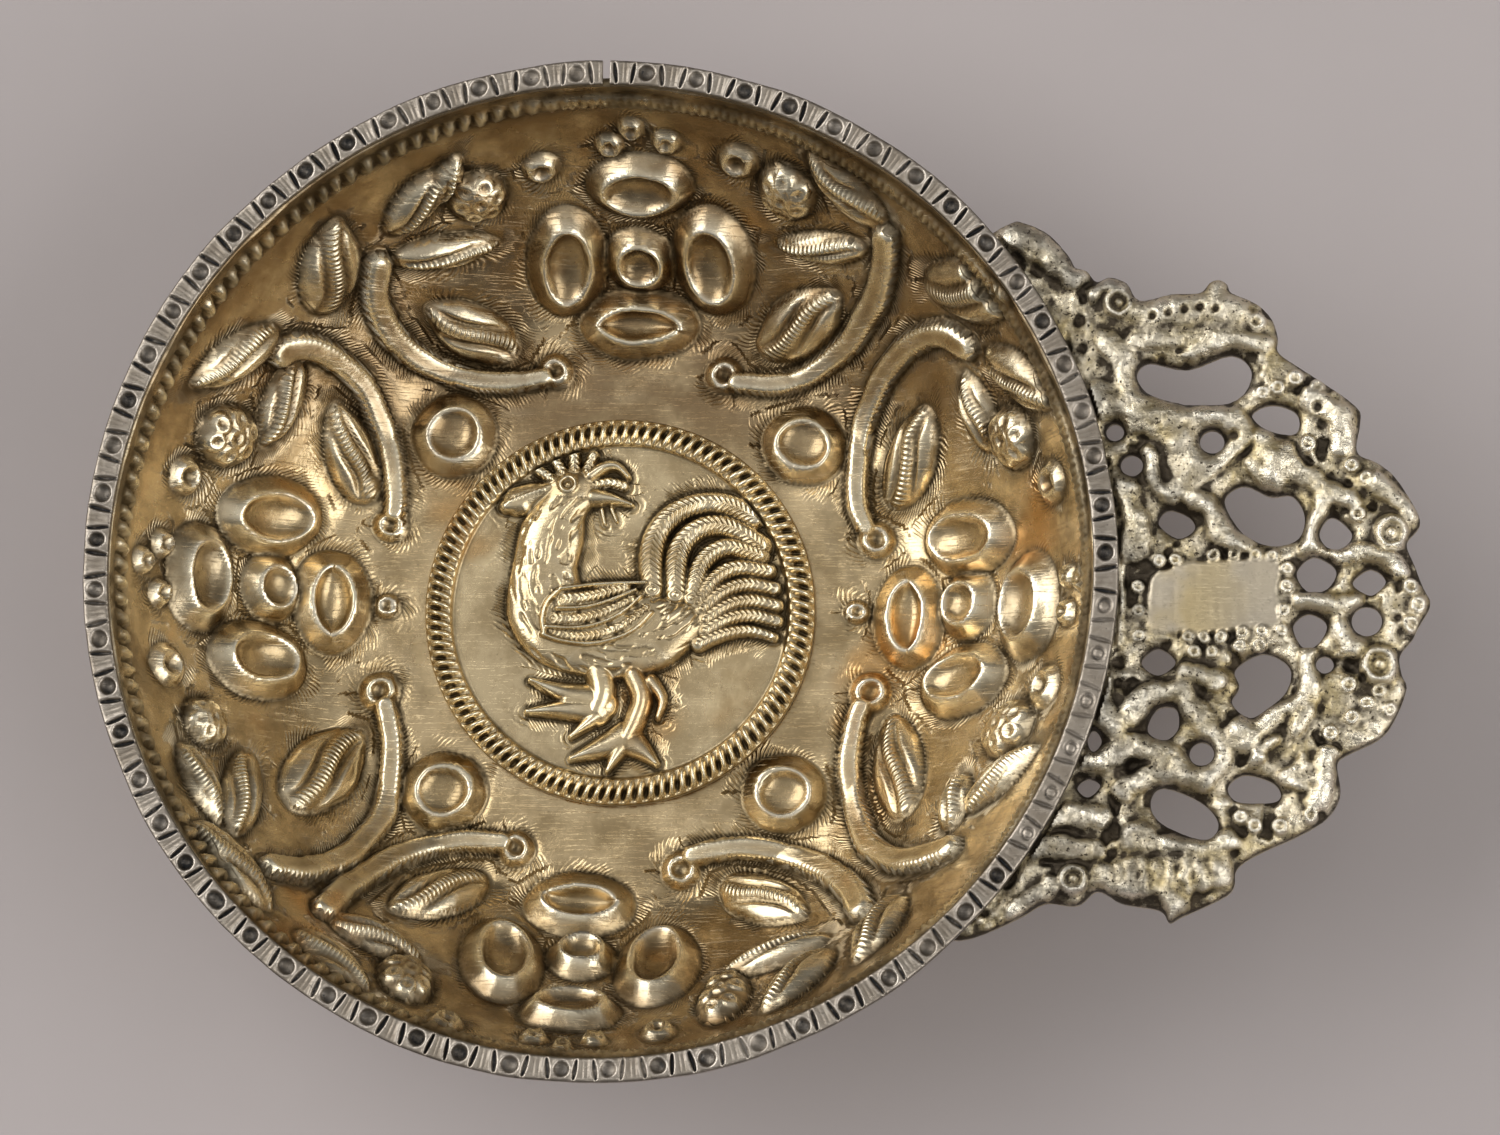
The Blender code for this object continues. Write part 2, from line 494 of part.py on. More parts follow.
def vertex_array(mesh):
    flat = np.empty(len(mesh.vertices) * 3)
    mesh.vertices.foreach_get("co", flat)
    return flat.reshape(-1, 3)


def set_vertices(mesh, points):
    mesh.vertices.foreach_set("co", points.ravel())
    mesh.update()


def thinned_mesh(name, mesh, triangles, floor_z, parts):
    """Merge the faces of flatter stretches to about this many triangles, none below floor_z."""
    full = link_object(name, mesh, parts)
    faces = sum(len(polygon.vertices) - 2 for polygon in mesh.polygons)
    decimate = full.modifiers.new("thin out", "DECIMATE")
    decimate.ratio = triangles / faces
    bpy.context.view_layer.update()
    thin = settled_mesh(full)
    points = vertex_array(thin)
    points[:, 2] = np.maximum(points[:, 2], floor_z)
    set_vertices(thin, points)
    thin.shade_smooth()
    return thin


def make_bowl(parts):
    face = BowlFace()
    lip_arc = face.arc[-1]
    floor_rings = [share * ROUNDEL_RADIUS for share in PLAIN_FLOOR_SHARES]
    rings = int((lip_arc - floor_rings[-1]) / BOWL_RING_STEP)
    arcs = np.concatenate([floor_rings[:-1], np.linspace(floor_rings[-1], lip_arc, rings)])
    inner = face.line(arcs, 0.0)
    outer = face.line(arcs, SHEET)[::-1]
    mesh = turned_mesh("bowl", np.vstack([inner, outer]), BOWL_STEPS, parts)
    points = vertex_array(mesh)
    radius = np.hypot(points[:, 0], points[:, 1])
    angle = np.arctan2(points[:, 1], points[:, 0])
    sample = face.nearest(radius, points[:, 2])
    height = bowl_relief(face.arc[sample], angle, lip_arc)
    behind = np.hypot(radius - face.points[sample, 0], points[:, 2] - face.points[sample, 1]) > SHEET / 2
    height[behind] *= BACK_SHARE
    points[:, 0] += height * face.inward[sample, 0] * np.cos(angle)
    points[:, 1] += height * face.inward[sample, 0] * np.sin(angle)
    points[:, 2] += height * face.inward[sample, 1]
    set_vertices(mesh, points)
    return link_object("bowl", thinned_mesh("bowl", mesh, BOWL_TRIANGLES, 0.0, parts), parts)


def roundel_relief(x, y):
    """Height of the rope border and the cockerel over the roundel's flat face."""
    radius = np.hypot(x, y)
    rope_radius = ROUNDEL_RADIUS - ROPE_INSET
    field_radius = ROUNDEL_RADIUS - FIELD_INSET
    half_rope = 0.5 * ROPE_WIDTH
    rope = dome((radius - rope_radius) / half_rope)
    outer_edge = smooth((radius - rope_radius - half_rope) / (0.5 * half_rope))
    bevel = smooth((radius - field_radius) / (rope_radius - half_rope - field_radius))
    edge = np.where(radius > rope_radius, outer_edge, bevel)
    relief = np.maximum(ROPE_HEIGHT * rope, EDGE_HEIGHT * edge)
    scale = field_radius / farthest([point for points, _, _ in COCKEREL for point in points])
    for points, half_widths, share in COCKEREL:
        part = stroke(x, y, scale * np.array(points), [scale * width for width in half_widths])
        relief = np.maximum(relief, share * COCKEREL_HEIGHT * part)
    return relief


def make_roundel(parts):
    base = SHEET + SEAT
    top = base + ROUNDEL_THICKNESS
    radii = np.linspace(0.0, ROUNDEL_RADIUS, int(ROUNDEL_RADIUS / ROUNDEL_RING_STEP))
    profile = [(r, top) for r in radii] + [(ROUNDEL_RADIUS, base), (0.0, base)]
    mesh = turned_mesh("roundel", profile, ROUNDEL_STEPS, parts)
    points = vertex_array(mesh)
    on_face = points[:, 2] > base + 0.5 * ROUNDEL_THICKNESS
    points[on_face, 2] += roundel_relief(points[on_face, 0], points[on_face, 1])
    set_vertices(mesh, points)
    return link_object("roundel", thinned_mesh("roundel", mesh, ROUNDEL_TRIANGLES, base, parts), parts)


def add_boolean(made, operation, other):
    boolean = made.modifiers.new(operation.lower(), "BOOLEAN")
    boolean.operation = operation
    boolean.object = other
    boolean.solver = "EXACT"
    boolean.use_self = True


def make_cutter(name, mesh, cutters):
    cutter = link_object(name, mesh, cutters)
    cutter.hide_render = True
    cutter.display_type = "WIRE"
    return cutter


def make_stamps(cutters):
    """Small cones that sink the round dents into the strip's top."""
    bm = bmesh.new()
    middle = RIM_RADIUS - 0.5 * STRIP_WIDTH
    top = STRIP_Z + STRIP_THICKNESS
    for i in range(STAMP_COUNT):
        angle = math.pi / 2 + (i + 0.5) * math.tau / STAMP_COUNT
        signed = math.remainder(angle, math.tau)
        if PLAIN_STRETCH[0] < signed < PLAIN_STRETCH[1]:
            continue
        place = Matrix.Translation((middle * math.cos(angle), middle * math.sin(angle), top))
        bmesh.ops.create_cone(
            bm,
            cap_ends=True,
            segments=STAMP_SIDES,
            radius1=0.0,
            radius2=2.0 * STAMP_RADIUS,
            depth=2.0 * STAMP_DEPTH,
            matrix=place,
        )
    return make_cutter("rim_stamps", mesh_from_bmesh("rim_stamps", bm), cutters)


def make_rim_strip(parts, cutters):
    top = STRIP_Z + STRIP_THICKNESS
    section = [
        (LIP_RADIUS, STRIP_Z),
        (RIM_RADIUS, STRIP_Z),
        (RIM_RADIUS, top - STRIP_BEVEL),
        (RIM_RADIUS - STRIP_BEVEL, top),
        (LIP_RADIUS + STRIP_BEVEL, top),
        (LIP_RADIUS, top - STRIP_BEVEL),
    ]
    seam = STRIP_SEAM / RIM_RADIUS
    mesh = swept_section("rim_strip", section, math.pi / 2 + seam / 2, math.tau - seam, STRIP_STEPS)
    mesh.shade_smooth()
    mesh.set_sharp_from_angle(angle=CORNER_ANGLE)
    strip = link_object("rim_strip", mesh, parts)
    add_boolean(strip, "DIFFERENCE", make_stamps(cutters))
    return strip


def handle_scales():
    """Metres to a drawn millimetre of the handle, along and across it."""
    drawn_reach = max(x for x, _ in OUTLINE)
    drawn_span = max(y for _, y in OUTLINE) - min(y for _, y in OUTLINE)
    return HANDLE_REACH / drawn_reach, HANDLE_SPAN / drawn_span


def on_handle(x, y):
    """A drawn handle point in metres."""
    along, across = handle_scales()
    return RIM_RADIUS + x * along, y * across


def add_outline(curve, points, straight=()):
    """Add a closed smooth outline through drawn handle points, cornered where told."""
    spline = curve.splines.new("BEZIER")
    spline.bezier_points.add(len(points) - 1)
    spline.use_cyclic_u = True
    for i, (knot, (x, y)) in enumerate(zip(spline.bezier_points, points)):
        kind = "VECTOR" if i in straight else "AUTO"
        knot.co = (*on_handle(x, y), 0.0)
        knot.handle_left_type = kind
        knot.handle_right_type = kind


def flat_plate(name, outlines, thickness, middle_z, straight=()):
    """A flat plate with the first outline as its edge and the others as openings."""
    curve = bpy.data.curves.new(name, "CURVE")
    curve.dimensions = "2D"
    curve.fill_mode = "BOTH"
    curve.extrude = thickness / 2
    curve.resolution_u = PLATE_STEPS
    for i, points in enumerate(outlines):
        add_outline(curve, points, straight if i == 0 else ())
    plate = link_object(name, curve, bpy.context.scene.collection)
    plate.location.z = middle_z
    bpy.context.view_layer.update()
    return settled_mesh(plate)


def circle_points(x, y, radius, count=5):
    """Drawn points round a circle."""
    turns = [math.tau * i / count for i in range(count)]
    return [(x + radius * math.cos(a), y + radius * math.sin(a)) for a in turns]


def ridge_mesh(name, points, half_width):
    """A round bar along drawn handle points, its middle line level with the handle's top."""
    along, _ = handle_scales()
    curve = bpy.data.curves.new(name, "CURVE")
    curve.dimensions = "3D"
    curve.bevel_depth = half_width * along
    curve.bevel_resolution = 1
    curve.use_fill_caps = True
    spline = curve.splines.new("POLY")
    line = flowing(points, 2) if len(points) > 2 else points
    spline.points.add(len(line) - 1)
    for point, (x, y) in zip(spline.points, line):
        point.co = (*on_handle(x, y), 0.0, 1.0)
    bar = link_object(name, curve, bpy.context.scene.collection)
    bar.location.z = HANDLE_TOP
    bpy.context.view_layer.update()
    return settled_mesh(bar)


def add_bead(bm, x, y, radius):
    """A bead sunk to its middle in the handle's top."""
    along, _ = handle_scales()
    px, py = on_handle(x, y)
    flatten = Matrix.Diagonal((1.0, 1.0, BEAD_FLATNESS, 1.0))
    place = Matrix.Translation((px, py, HANDLE_TOP)) @ flatten
    bmesh.ops.create_uvsphere(
        bm,
        u_segments=BEAD_SIDES,
        v_segments=BEAD_RINGS,
        radius=radius * along,
        matrix=place,
    )


def make_handle_relief(cutters):
    """Beads, beast heads, ridges and the bare tablet, as one mesh to join to the plate."""
    bm = bmesh.new()
    for x, y, radius in BOSSES:
        add_bead(bm, x, y, radius)
    for x, y in TABLET_BEADS:
        add_bead(bm, x, y, TABLET_BEAD_RADIUS)
    for i, (points, half_width) in enumerate(RIDGES):
        bm.from_mesh(ridge_mesh(f"ridge_{i}", points, half_width))
    bm.from_mesh(flat_plate("tablet", [TABLET], 2.0 * TABLET_HEIGHT, HANDLE_TOP))
    return make_cutter("handle_relief", mesh_from_bmesh("handle_relief", bm), cutters)


def make_wall_cutter(cutters):
    """The shape of the bowl and of the strip over the handle, grown by the seat clearance."""
    wall = wall_line(SHEET + SEAT)[::-1]
    step = HANDLE_TOP + UNDER_STRIP
    above = HANDLE_TOP + HANDLE_THICKNESS
    edge = RIM_RADIUS + SEAT
    profile = [(0.0, above), (edge, above), (edge, step), (wall[0][0], step)]
    profile += [*wall[CUTTER_STRIDE::CUTTER_STRIDE], (0.0, wall[-1][1])]
    mesh = turned_mesh("wall_cutter", profile, 2 * STRIP_STEPS, cutters)
    return make_cutter("wall_cutter", mesh, cutters)


def make_heel(cutters):
    """Flange below the handle's inner edge that hugs the wall."""
    wall = wall_line(SHEET + SEAT)
    highest = HANDLE_TOP - 0.5 * HANDLE_THICKNESS
    lowest = HANDLE_TOP - HANDLE_THICKNESS - HEEL_DEPTH
    heights = np.linspace(highest, lowest, HEEL_RINGS)
    inner = [(np.interp(z, wall[:, 1], wall[:, 0]), z) for z in heights]
    taper = np.linspace(1.0, HEEL_TAPER, len(heights))
    outer = [(r + t * HEEL_THICKNESS, z) for (r, z), t in zip(inner, taper)]
    section = [(r - 0.5 * HEEL_THICKNESS, z) for r, z in inner] + outer[::-1]
    top_x, top_y = on_handle(*OUTLINE[1])
    low_x, low_y = on_handle(*OUTLINE[-2])
    start = math.atan2(low_y, low_x) + HEEL_THICKNESS / RIM_RADIUS
    sweep = math.atan2(top_y, top_x) - HEEL_THICKNESS / RIM_RADIUS - start
    mesh = swept_section("handle_heel", section, start, sweep, HEEL_STEPS)
    return make_cutter("handle_heel", mesh, cutters)


def make_handle(parts, cutters):
    openings = PIERCINGS + [circle_points(*piercing) for piercing in ROUND_PIERCINGS]
    middle = HANDLE_TOP - HANDLE_THICKNESS / 2
    mesh = flat_plate("handle", [OUTLINE] + openings, HANDLE_THICKNESS, middle, HIDDEN_POINTS)
    handle = link_object("handle", mesh, parts)
    bevel = handle.modifiers.new("cast edge", "BEVEL")
    bevel.width = HANDLE_BEVEL
    bevel.segments = 1
    bevel.limit_method = "ANGLE"
    bevel.angle_limit = CAST_EDGE_ANGLE
    add_boolean(handle, "UNION", make_heel(cutters))
    add_boolean(handle, "UNION", make_handle_relief(cutters))
    add_boolean(handle, "DIFFERENCE", make_wall_cutter(cutters))
    return handle


def build():
    clear_scene()
    parts = make_collection("charka")
    cutters = make_collection("cutters")
    looks = [
        (make_bowl(parts), GILT, 0.35),
        (make_roundel(parts), GILT, 0.30),
        (make_rim_strip(parts, cutters), SILVER, 0.40),
        (make_handle(parts, cutters), SILVER, 0.45),
    ]
    for made, colour, roughness in looks:
        made.data.materials.clear()
        made.data.materials.append(make_material(made.name + "_metal", colour, roughness))


build()
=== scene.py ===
"""Dressed charka: the gilt bowl with its chased flowers, the cockerel roundel, the stamped
silver strip round the lip and the cast openwork handle, on a plain grey table.

Drawn sizes are in millimetres and meshes in metres. The handle points along +X.
"""

import math

import bmesh
import bpy
import numpy as np
from mathutils import Matrix, Vector
from mathutils.geometry import interpolate_bezier


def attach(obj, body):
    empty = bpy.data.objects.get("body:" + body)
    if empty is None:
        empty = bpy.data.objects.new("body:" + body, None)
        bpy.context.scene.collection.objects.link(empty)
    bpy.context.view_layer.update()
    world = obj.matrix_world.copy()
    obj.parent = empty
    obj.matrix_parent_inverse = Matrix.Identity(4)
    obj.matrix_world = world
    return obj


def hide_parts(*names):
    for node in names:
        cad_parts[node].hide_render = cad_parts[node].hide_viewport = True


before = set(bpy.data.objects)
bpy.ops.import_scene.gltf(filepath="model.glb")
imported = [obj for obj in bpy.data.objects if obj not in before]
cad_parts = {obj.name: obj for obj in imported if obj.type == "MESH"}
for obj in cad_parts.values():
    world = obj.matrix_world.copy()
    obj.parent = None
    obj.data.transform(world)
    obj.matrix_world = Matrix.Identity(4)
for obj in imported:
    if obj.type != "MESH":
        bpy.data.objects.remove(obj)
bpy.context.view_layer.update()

MM = 0.001

# Bowl
SHEET = 0.8
FLOOR_RADIUS = 26.5
FOOT_CURVE = 3.0
LIP_RADIUS = 43.8
LIP_LEAN = 1.3
BOWL_DEPTH = 23.0
LIP_Z = SHEET + BOWL_DEPTH
BACK_SHARE = 0.7
SEAT = 0.3
FLOOR_POINTS = 80
WALL_POINTS = 400

# Strip round the lip
RIM_RADIUS = 46.0
STRIP_Z = LIP_Z + SEAT
STRIP_THICKNESS = 0.9
STRIP_SEAM = 0.7
STAMP_COUNT = 66
DENT_RADIUS = 0.74
DENT_DEPTH = 0.7
BAR_PLACE = 1.28
BAR_DEPTH = 0.42
LINE_PITCH = 0.33
LINE_DEPTH = 0.06
PLAIN_STRETCH = (math.radians(-37.0), math.radians(-1.0))

# Roundel
ROUNDEL_RADIUS = 17.8
ROUNDEL_BASE = SHEET + SEAT
ROUNDEL_THICKNESS = 0.6
FIELD_RADIUS = 15.2
ROPE_RADIUS = 16.5
ROPE_HALF_WIDTH = 1.15
ROPE_STROKES = 106
BODY_HEIGHT = 1.35
BODY_SHOULDER = 2.6
ROUNDEL_GRID = 304

# Handle
HANDLE_TOP = LIP_Z
HANDLE_THICKNESS = 2.0
HEEL_DEPTH = 4.0
HEEL_THICKNESS = 1.2
CASTING_GRAIN = 0.175
EDGE_ROLL = 1.5
BEAD_HEIGHT = 0.6
EYE_HEIGHT = 1.0
TABLET_HEIGHT = 0.3

# Heights of the chased work
PETAL_HEIGHT = 1.55
STEM_HEIGHT = 1.05
LEAF_HEIGHT = 1.5
RING_HEIGHT = 0.75

# What is stored for the materials, with its value far from any motif, and the reach of the lashes
FAR = 9.0
TOOL_MARKS = {"edge": FAR, "around": 0.0, "hatch": 0.0, "hatched": 0.0, "pearl": FAR, "ring": FAR}
LASH_REACH = 4.0

# The bowl's ornament lies on the sheet's flat blank: x and y from the centre, the handle along +x.
# Dished bosses as (x, y, half width, half height): the centre and petals of each flower
# beside the handle, at the back, opposite the handle and at the front, then the diagonals.
BOSSES = [
    (32.9, 0.2, 3.1, 3.1), (33.5, 6.5, 5.1, 3.3), (33.0, -7.1, 5.0, 3.2), (26.4, -0.4, 3.2, 4.3),
    (41.8, -1.2, 4.3, 5.0),
    (1.6, 33.4, 3.1, 3.1), (-5.3, 33.5, 3.5, 5.2), (8.8, 33.6, 3.8, 5.2), (2.2, 41.7, 4.9, 3.5),
    (1.4, 26.9, 4.9, 3.1),
    (-32.9, 1.9, 3.0, 3.0), (-33.6, 8.5, 5.4, 3.5), (-34.4, -5.4, 5.0, 3.5), (-26.6, 0.9, 3.4, 4.4),
    (-41.5, 1.8, 4.0, 5.0),
    (-2.9, -33.6, 2.9, 2.9), (-3.4, -27.1, 4.6, 3.1), (-10.4, -35.2, 3.8, 5.5), (4.4, -35.2, 3.8, 5.5),
    (-3.5, -42.5, 4.7, 3.5),
]
CORNER_BOSSES = [
    (-15.5, 16.5, 3.6, 3.5), (16.5, 15.5, 3.5, 3.3), (-15.9, -16.5, 3.6, 3.3), (15.1, -16.5, 3.5, 3.3),
]
# Small punched rings as (x, y, radius), with the knobs at the stems' ends
RINGS = [
    (-0.7, 46.6, 1.4), (1.8, 49.0, 1.4), (5.4, 47.1, 1.5), (-7.7, 43.9, 1.7), (12.8, 44.9, 2.0),
    (-46.6, 4.5, 1.4), (-49.5, 2.2, 1.4), (-46.6, -0.8, 1.4), (-43.9, 11.9, 1.9), (-45.5, -8.1, 2.2),
    (48.7, 0.8, 1.3), (51.6, 0.0, 1.3), (48.3, -3.1, 1.4), (46.0, 10.8, 2.1), (44.9, -10.4, 2.3),
    (-7.0, -48.3, 1.4), (-0.6, -48.3, 1.4), (-3.9, -51.0, 1.2), (-16.2, -47.2, 1.7), (5.8, -46.4, 1.8),
    (-21.5, 0.6, 1.1), (21.5, 0.2, 1.0),
    (-6.3, 22.6, 1.5), (9.1, 22.0, 1.6), (-21.3, 8.1, 1.4), (-22.0, -7.3, 1.7),
    (23.2, 6.8, 1.6), (22.8, -7.3, 1.7), (-9.3, -21.7, 1.6), (5.8, -23.6, 1.7),
]
# Stems, from the knob to the leaves
STEMS = [
    [(-7.4, 22.0), (-11.6, 21.3), (-14.7, 21.8), (-17.8, 23.0), (-20.9, 25.1), (-23.2, 27.8),
     (-24.4, 30.9), (-24.2, 33.6)],
    [(10.3, 21.3), (13.9, 21.0), (16.6, 21.8), (20.1, 24.0), (23.2, 27.1), (25.9, 30.5),
     (27.8, 34.0), (28.4, 36.8)],
    [(-21.0, 9.4), (-20.9, 11.6), (-21.3, 15.1), (-22.4, 18.2), (-24.4, 21.3), (-27.1, 23.7),
     (-29.8, 25.1), (-32.5, 25.4), (-33.8, 24.6)],
    [(-21.4, -8.7), (-20.7, -11.0), (-20.5, -13.1), (-20.7, -16.2), (-21.7, -19.3), (-23.2, -22.0),
     (-25.5, -24.7), (-28.2, -26.7), (-31.3, -28.0), (-34.0, -28.5)],
    [(22.3, 8.0), (21.5, 9.6), (21.3, 12.4), (21.7, 15.9), (22.8, 18.9), (24.7, 22.0),
     (27.5, 24.7), (30.5, 26.3), (33.6, 26.7), (36.0, 25.3)],
    [(22.0, -8.7), (21.2, -10.6), (20.9, -13.5), (21.3, -17.0), (22.4, -20.1), (24.4, -23.2),
     (27.5, -25.5), (30.9, -26.7), (34.4, -26.3)],
    [(-10.6, -21.1), (-14.7, -20.9), (-17.8, -21.8), (-20.9, -24.0), (-24.0, -26.7), (-26.7, -29.8),
     (-28.2, -32.1)],
    [(6.8, -22.3), (10.8, -21.3), (13.9, -21.7), (17.0, -22.8), (20.1, -24.8), (22.8, -27.5),
     (24.7, -30.9)],
]
STEM_HALF_WIDTH = 1.3
# Buds with a hatched middle ridge, as (x, y, half length, half width, turn of the tip in degrees)
BUDS = [
    (-14.1, 26.4, 4.9, 2.6, 153.0), (16.9, 27.1, 5.4, 2.8, 35.0), (-25.2, 14.8, 5.0, 2.5, 113.0),
    (-27.5, -15.5, 6.0, 3.3, 48.0), (27.1, 14.4, 5.2, 2.5, 62.0), (26.0, -14.7, 5.5, 2.7, 102.0),
    (-16.6, -27.1, 5.3, 2.6, 210.0), (13.9, -27.1, 5.0, 2.6, -30.0),
    (-29.4, 33.9, 5.4, 3.3, 88.0), (38.8, 31.4, 6.8, 3.6, -4.0), (-39.4, -30.8, 6.2, 3.5, -42.0),
    (27.8, -35.2, 5.0, 2.6, 252.0),
]
# Leaves, whose ridge lies to one side, in the same way
LEAVES = [
    (-17.2, 34.8, 5.2, 1.9, 6.0), (-20.4, 41.0, 4.8, 2.3, 51.0), (-17.6, 43.3, 3.2, 1.6, 70.0),
    (20.5, 35.2, 5.0, 1.6, 180.0), (25.0, 42.3, 5.5, 2.7, 129.0),
    (-39.4, 24.1, 6.0, 2.5, 209.0), (-33.1, 19.6, 4.5, 2.1, 250.0),
    (-42.2, -21.0, 4.7, 2.1, -63.0), (-37.0, -20.5, 5.4, 2.3, -104.0),
    (43.7, 21.8, 6.0, 2.7, -28.0), (36.0, 18.5, 4.0, 2.1, 105.0),
    (40.4, -19.4, 5.6, 1.9, 22.0), (34.0, -20.3, 3.2, 1.8, 80.0),
    (-23.0, -34.8, 5.0, 2.3, -18.0), (-28.3, -40.6, 5.2, 2.5, -46.0),
    (16.4, -35.2, 5.5, 1.8, -161.0), (19.6, -40.4, 5.4, 2.6, -121.0),
]
# Berries of punched rings, as (x, y, half width, half height)
BERRIES = [
    (-14.3, 41.0, 3.1, 3.0), (17.8, 41.6, 3.2, 3.4), (-39.2, 16.2, 3.7, 3.1), (-41.0, -13.4, 2.7, 2.6),
    (40.7, 15.7, 3.3, 3.2), (40.2, -13.8, 3.8, 3.2), (-20.2, -40.6, 3.1, 4.0), (12.0, -41.4, 2.7, 4.5),
]
# The worked rib under the lip, and how far the drawn lines wander
RIB_ARC = 53.5
RIB_HALF_WIDTH = 1.15
RIB_HEIGHT = 0.7
RIB_DENTS = 172
RIB_STROKES = 300
WANDER = 0.25

# Cockerel: the outline of neck and body
COCKEREL_BODY = [
    (-7.3, 10.9), (-8.3, 9.4), (-9.2, 7.9), (-9.8, 4.8), (-10.4, 0.9), (-10.0, -1.4), (-8.4, -3.8),
    (-6.1, -5.2), (-2.2, -6.1), (1.3, -6.1), (4.5, -5.0), (6.4, -3.4), (8.0, -1.4), (6.9, 0.5), (4.1, 1.5),
    (2.1, 2.3), (-1.5, 2.2), (-3.4, 2.5), (-3.9, 4.0), (-3.4, 6.4), (-3.3, 8.7), (-2.4, 10.0),
    (-2.2, 11.4), (-2.6, 12.8), (-4.2, 13.4), (-5.9, 13.1), (-7.0, 12.2),
]
# Its parts as (points, half width, height, hatching, share of the width at the tip):
# beak and ear, comb, beard, the wing's hatched bands and the ridges between them, plumes,
# then the legs and their toes
COCKEREL_PARTS = [
    ([(-2.6, 10.6), (-0.8, 10.4), (1.0, 9.8)], 1.0, 1.1, 0.0, 0.2),
    ([(-2.9, 12.5), (-1.6, 13.4), (-0.4, 13.5), (0.6, 12.4)], 0.85, 1.2, 0.0, 0.35),
    ([(-2.6, 11.7), (-1.0, 12.0), (0.2, 11.6)], 0.5, 0.75, 0.8, 1.0),
    ([(-9.5, 10.2), (-8.2, 10.8), (-6.4, 11.4)], 1.45, 1.05, 0.0, 0.55),
    ([(-9.3, 10.2), (-9.9, 9.9), (-10.5, 9.7)], 1.45, 1.05, 0.0, 0.5),
    ([(-7.0, 11.2), (-8.8, 10.6), (-10.2, 10.0)], 0.25, 1.25, 0.0, 0.5),
    ([(-6.4, 12.2), (-7.7, 13.1)], 0.6, 1.1, 0.8, 0.9),
    ([(-5.4, 12.8), (-6.2, 14.1)], 0.6, 1.1, 0.8, 0.9),
    ([(-4.3, 13.0), (-4.4, 14.6)], 0.65, 1.1, 0.8, 0.9),
    ([(-3.2, 12.9), (-2.6, 14.4)], 0.6, 1.1, 0.8, 0.9),
    ([(-0.9, 9.5), (-0.4, 8.3)], 0.22, 0.5, 0.0, 0.6),
    ([(-1.8, 9.4), (-1.5, 8.1)], 0.22, 0.5, 0.0, 0.6),
    ([(-5.2, 1.0), (-3.2, 1.1), (-1.2, 1.6), (0.6, 2.0)], 0.95, 1.5, 0.7, 0.7),
    ([(-6.0, -0.8), (-4.0, -0.9), (-1.6, -0.4), (1.2, 1.0)], 0.95, 1.55, 0.7, 0.7),
    ([(-6.2, -2.0), (-4.4, -2.5), (-2.0, -2.4), (0.6, -1.4), (2.5, 0.2)], 0.95, 1.55, 0.7, 0.6),
    ([(-5.6, 1.7), (-6.7, 0.6), (-7.0, -1.0), (-6.7, -2.4)], 0.45, 1.9, 0.0, 1.0),
    ([(-5.4, 1.9), (-3.2, 2.2), (-0.8, 2.4), (2.4, 2.5)], 0.38, 1.8, 0.0, 0.6),
    ([(-5.6, 0.1), (-3.2, 0.1), (-1.0, 0.7), (1.5, 1.8)], 0.4, 1.95, 0.0, 0.6),
    ([(-6.6, -1.6), (-4.4, -1.8), (-2.0, -1.5), (0.5, -0.3), (2.0, 1.2)], 0.4, 1.95, 0.0, 0.6),
    ([(-6.9, -2.3), (-5.4, -2.9), (-2.5, -3.3), (0.2, -2.6), (1.8, -1.7), (3.0, -0.3)], 0.45, 1.9, 0.0, 0.6),
    ([(3.0, 2.0), (2.6, 5.6), (3.8, 8.4), (6.6, 10.0), (9.8, 10.0), (12.2, 8.6)], 1.2, 1.15, 0.7, 0.85),
    ([(5.1, 1.5), (5.0, 5.0), (6.1, 7.2), (8.4, 8.2), (11.0, 7.5), (12.9, 6.0)], 1.15, 1.15, 0.7, 0.85),
    ([(6.6, 1.2), (7.1, 4.0), (8.4, 5.6), (10.2, 6.1), (12.8, 5.1)], 1.0, 1.15, 0.7, 0.85),
    ([(7.1, 0.8), (8.5, 3.0), (10.6, 4.2), (13.5, 3.7)], 0.92, 1.1, 0.7, 0.85),
    ([(7.5, 0.2), (9.3, 1.8), (11.5, 2.6), (14.0, 2.1)], 0.85, 1.1, 0.7, 0.85),
    ([(7.8, -0.8), (9.8, 0.6), (12.0, 1.1), (14.3, 0.5)], 0.82, 1.05, 0.7, 0.85),
    ([(7.8, -1.8), (10.0, -0.6), (12.1, -0.3), (14.3, -0.9)], 0.8, 1.05, 0.7, 0.85),
    ([(7.2, -3.0), (9.6, -2.0), (12.0, -1.7), (14.1, -2.4)], 0.78, 1.0, 0.7, 0.6),
    ([(-1.9, -5.6), (-1.4, -7.4), (-2.0, -9.0)], 1.35, 1.2, 0.0, 1.0),
    ([(-2.2, -8.2), (-5.0, -7.6), (-8.0, -6.4)], 1.6, 1.1, 0.0, 0.2),
    ([(-2.0, -9.0), (-5.2, -9.0), (-8.3, -9.3)], 1.6, 1.1, 0.0, 0.2),
    ([(-1.8, -8.5), (-3.2, -8.3), (-4.6, -8.1)], 1.75, 1.0, 0.0, 0.6),
    ([(-1.8, -9.4), (-3.0, -10.5), (-4.3, -11.6)], 0.95, 1.0, 0.0, 0.3),
    ([(1.3, -5.8), (2.3, -7.8), (1.5, -10.2), (0.8, -11.6)], 1.05, 1.2, 0.0, 1.0),
    ([(2.9, -6.4), (4.2, -8.0), (3.6, -9.8)], 0.75, 0.95, 0.0, 0.4),
    ([(0.7, -11.7), (-1.6, -12.6), (-4.2, -13.6)], 1.7, 1.1, 0.0, 0.2),
    ([(0.5, -12.0), (-0.2, -13.3), (-0.9, -14.7)], 1.15, 1.0, 0.0, 0.25),
    ([(0.8, -11.8), (2.2, -12.7), (3.5, -14.0)], 1.55, 1.05, 0.0, 0.25),
]
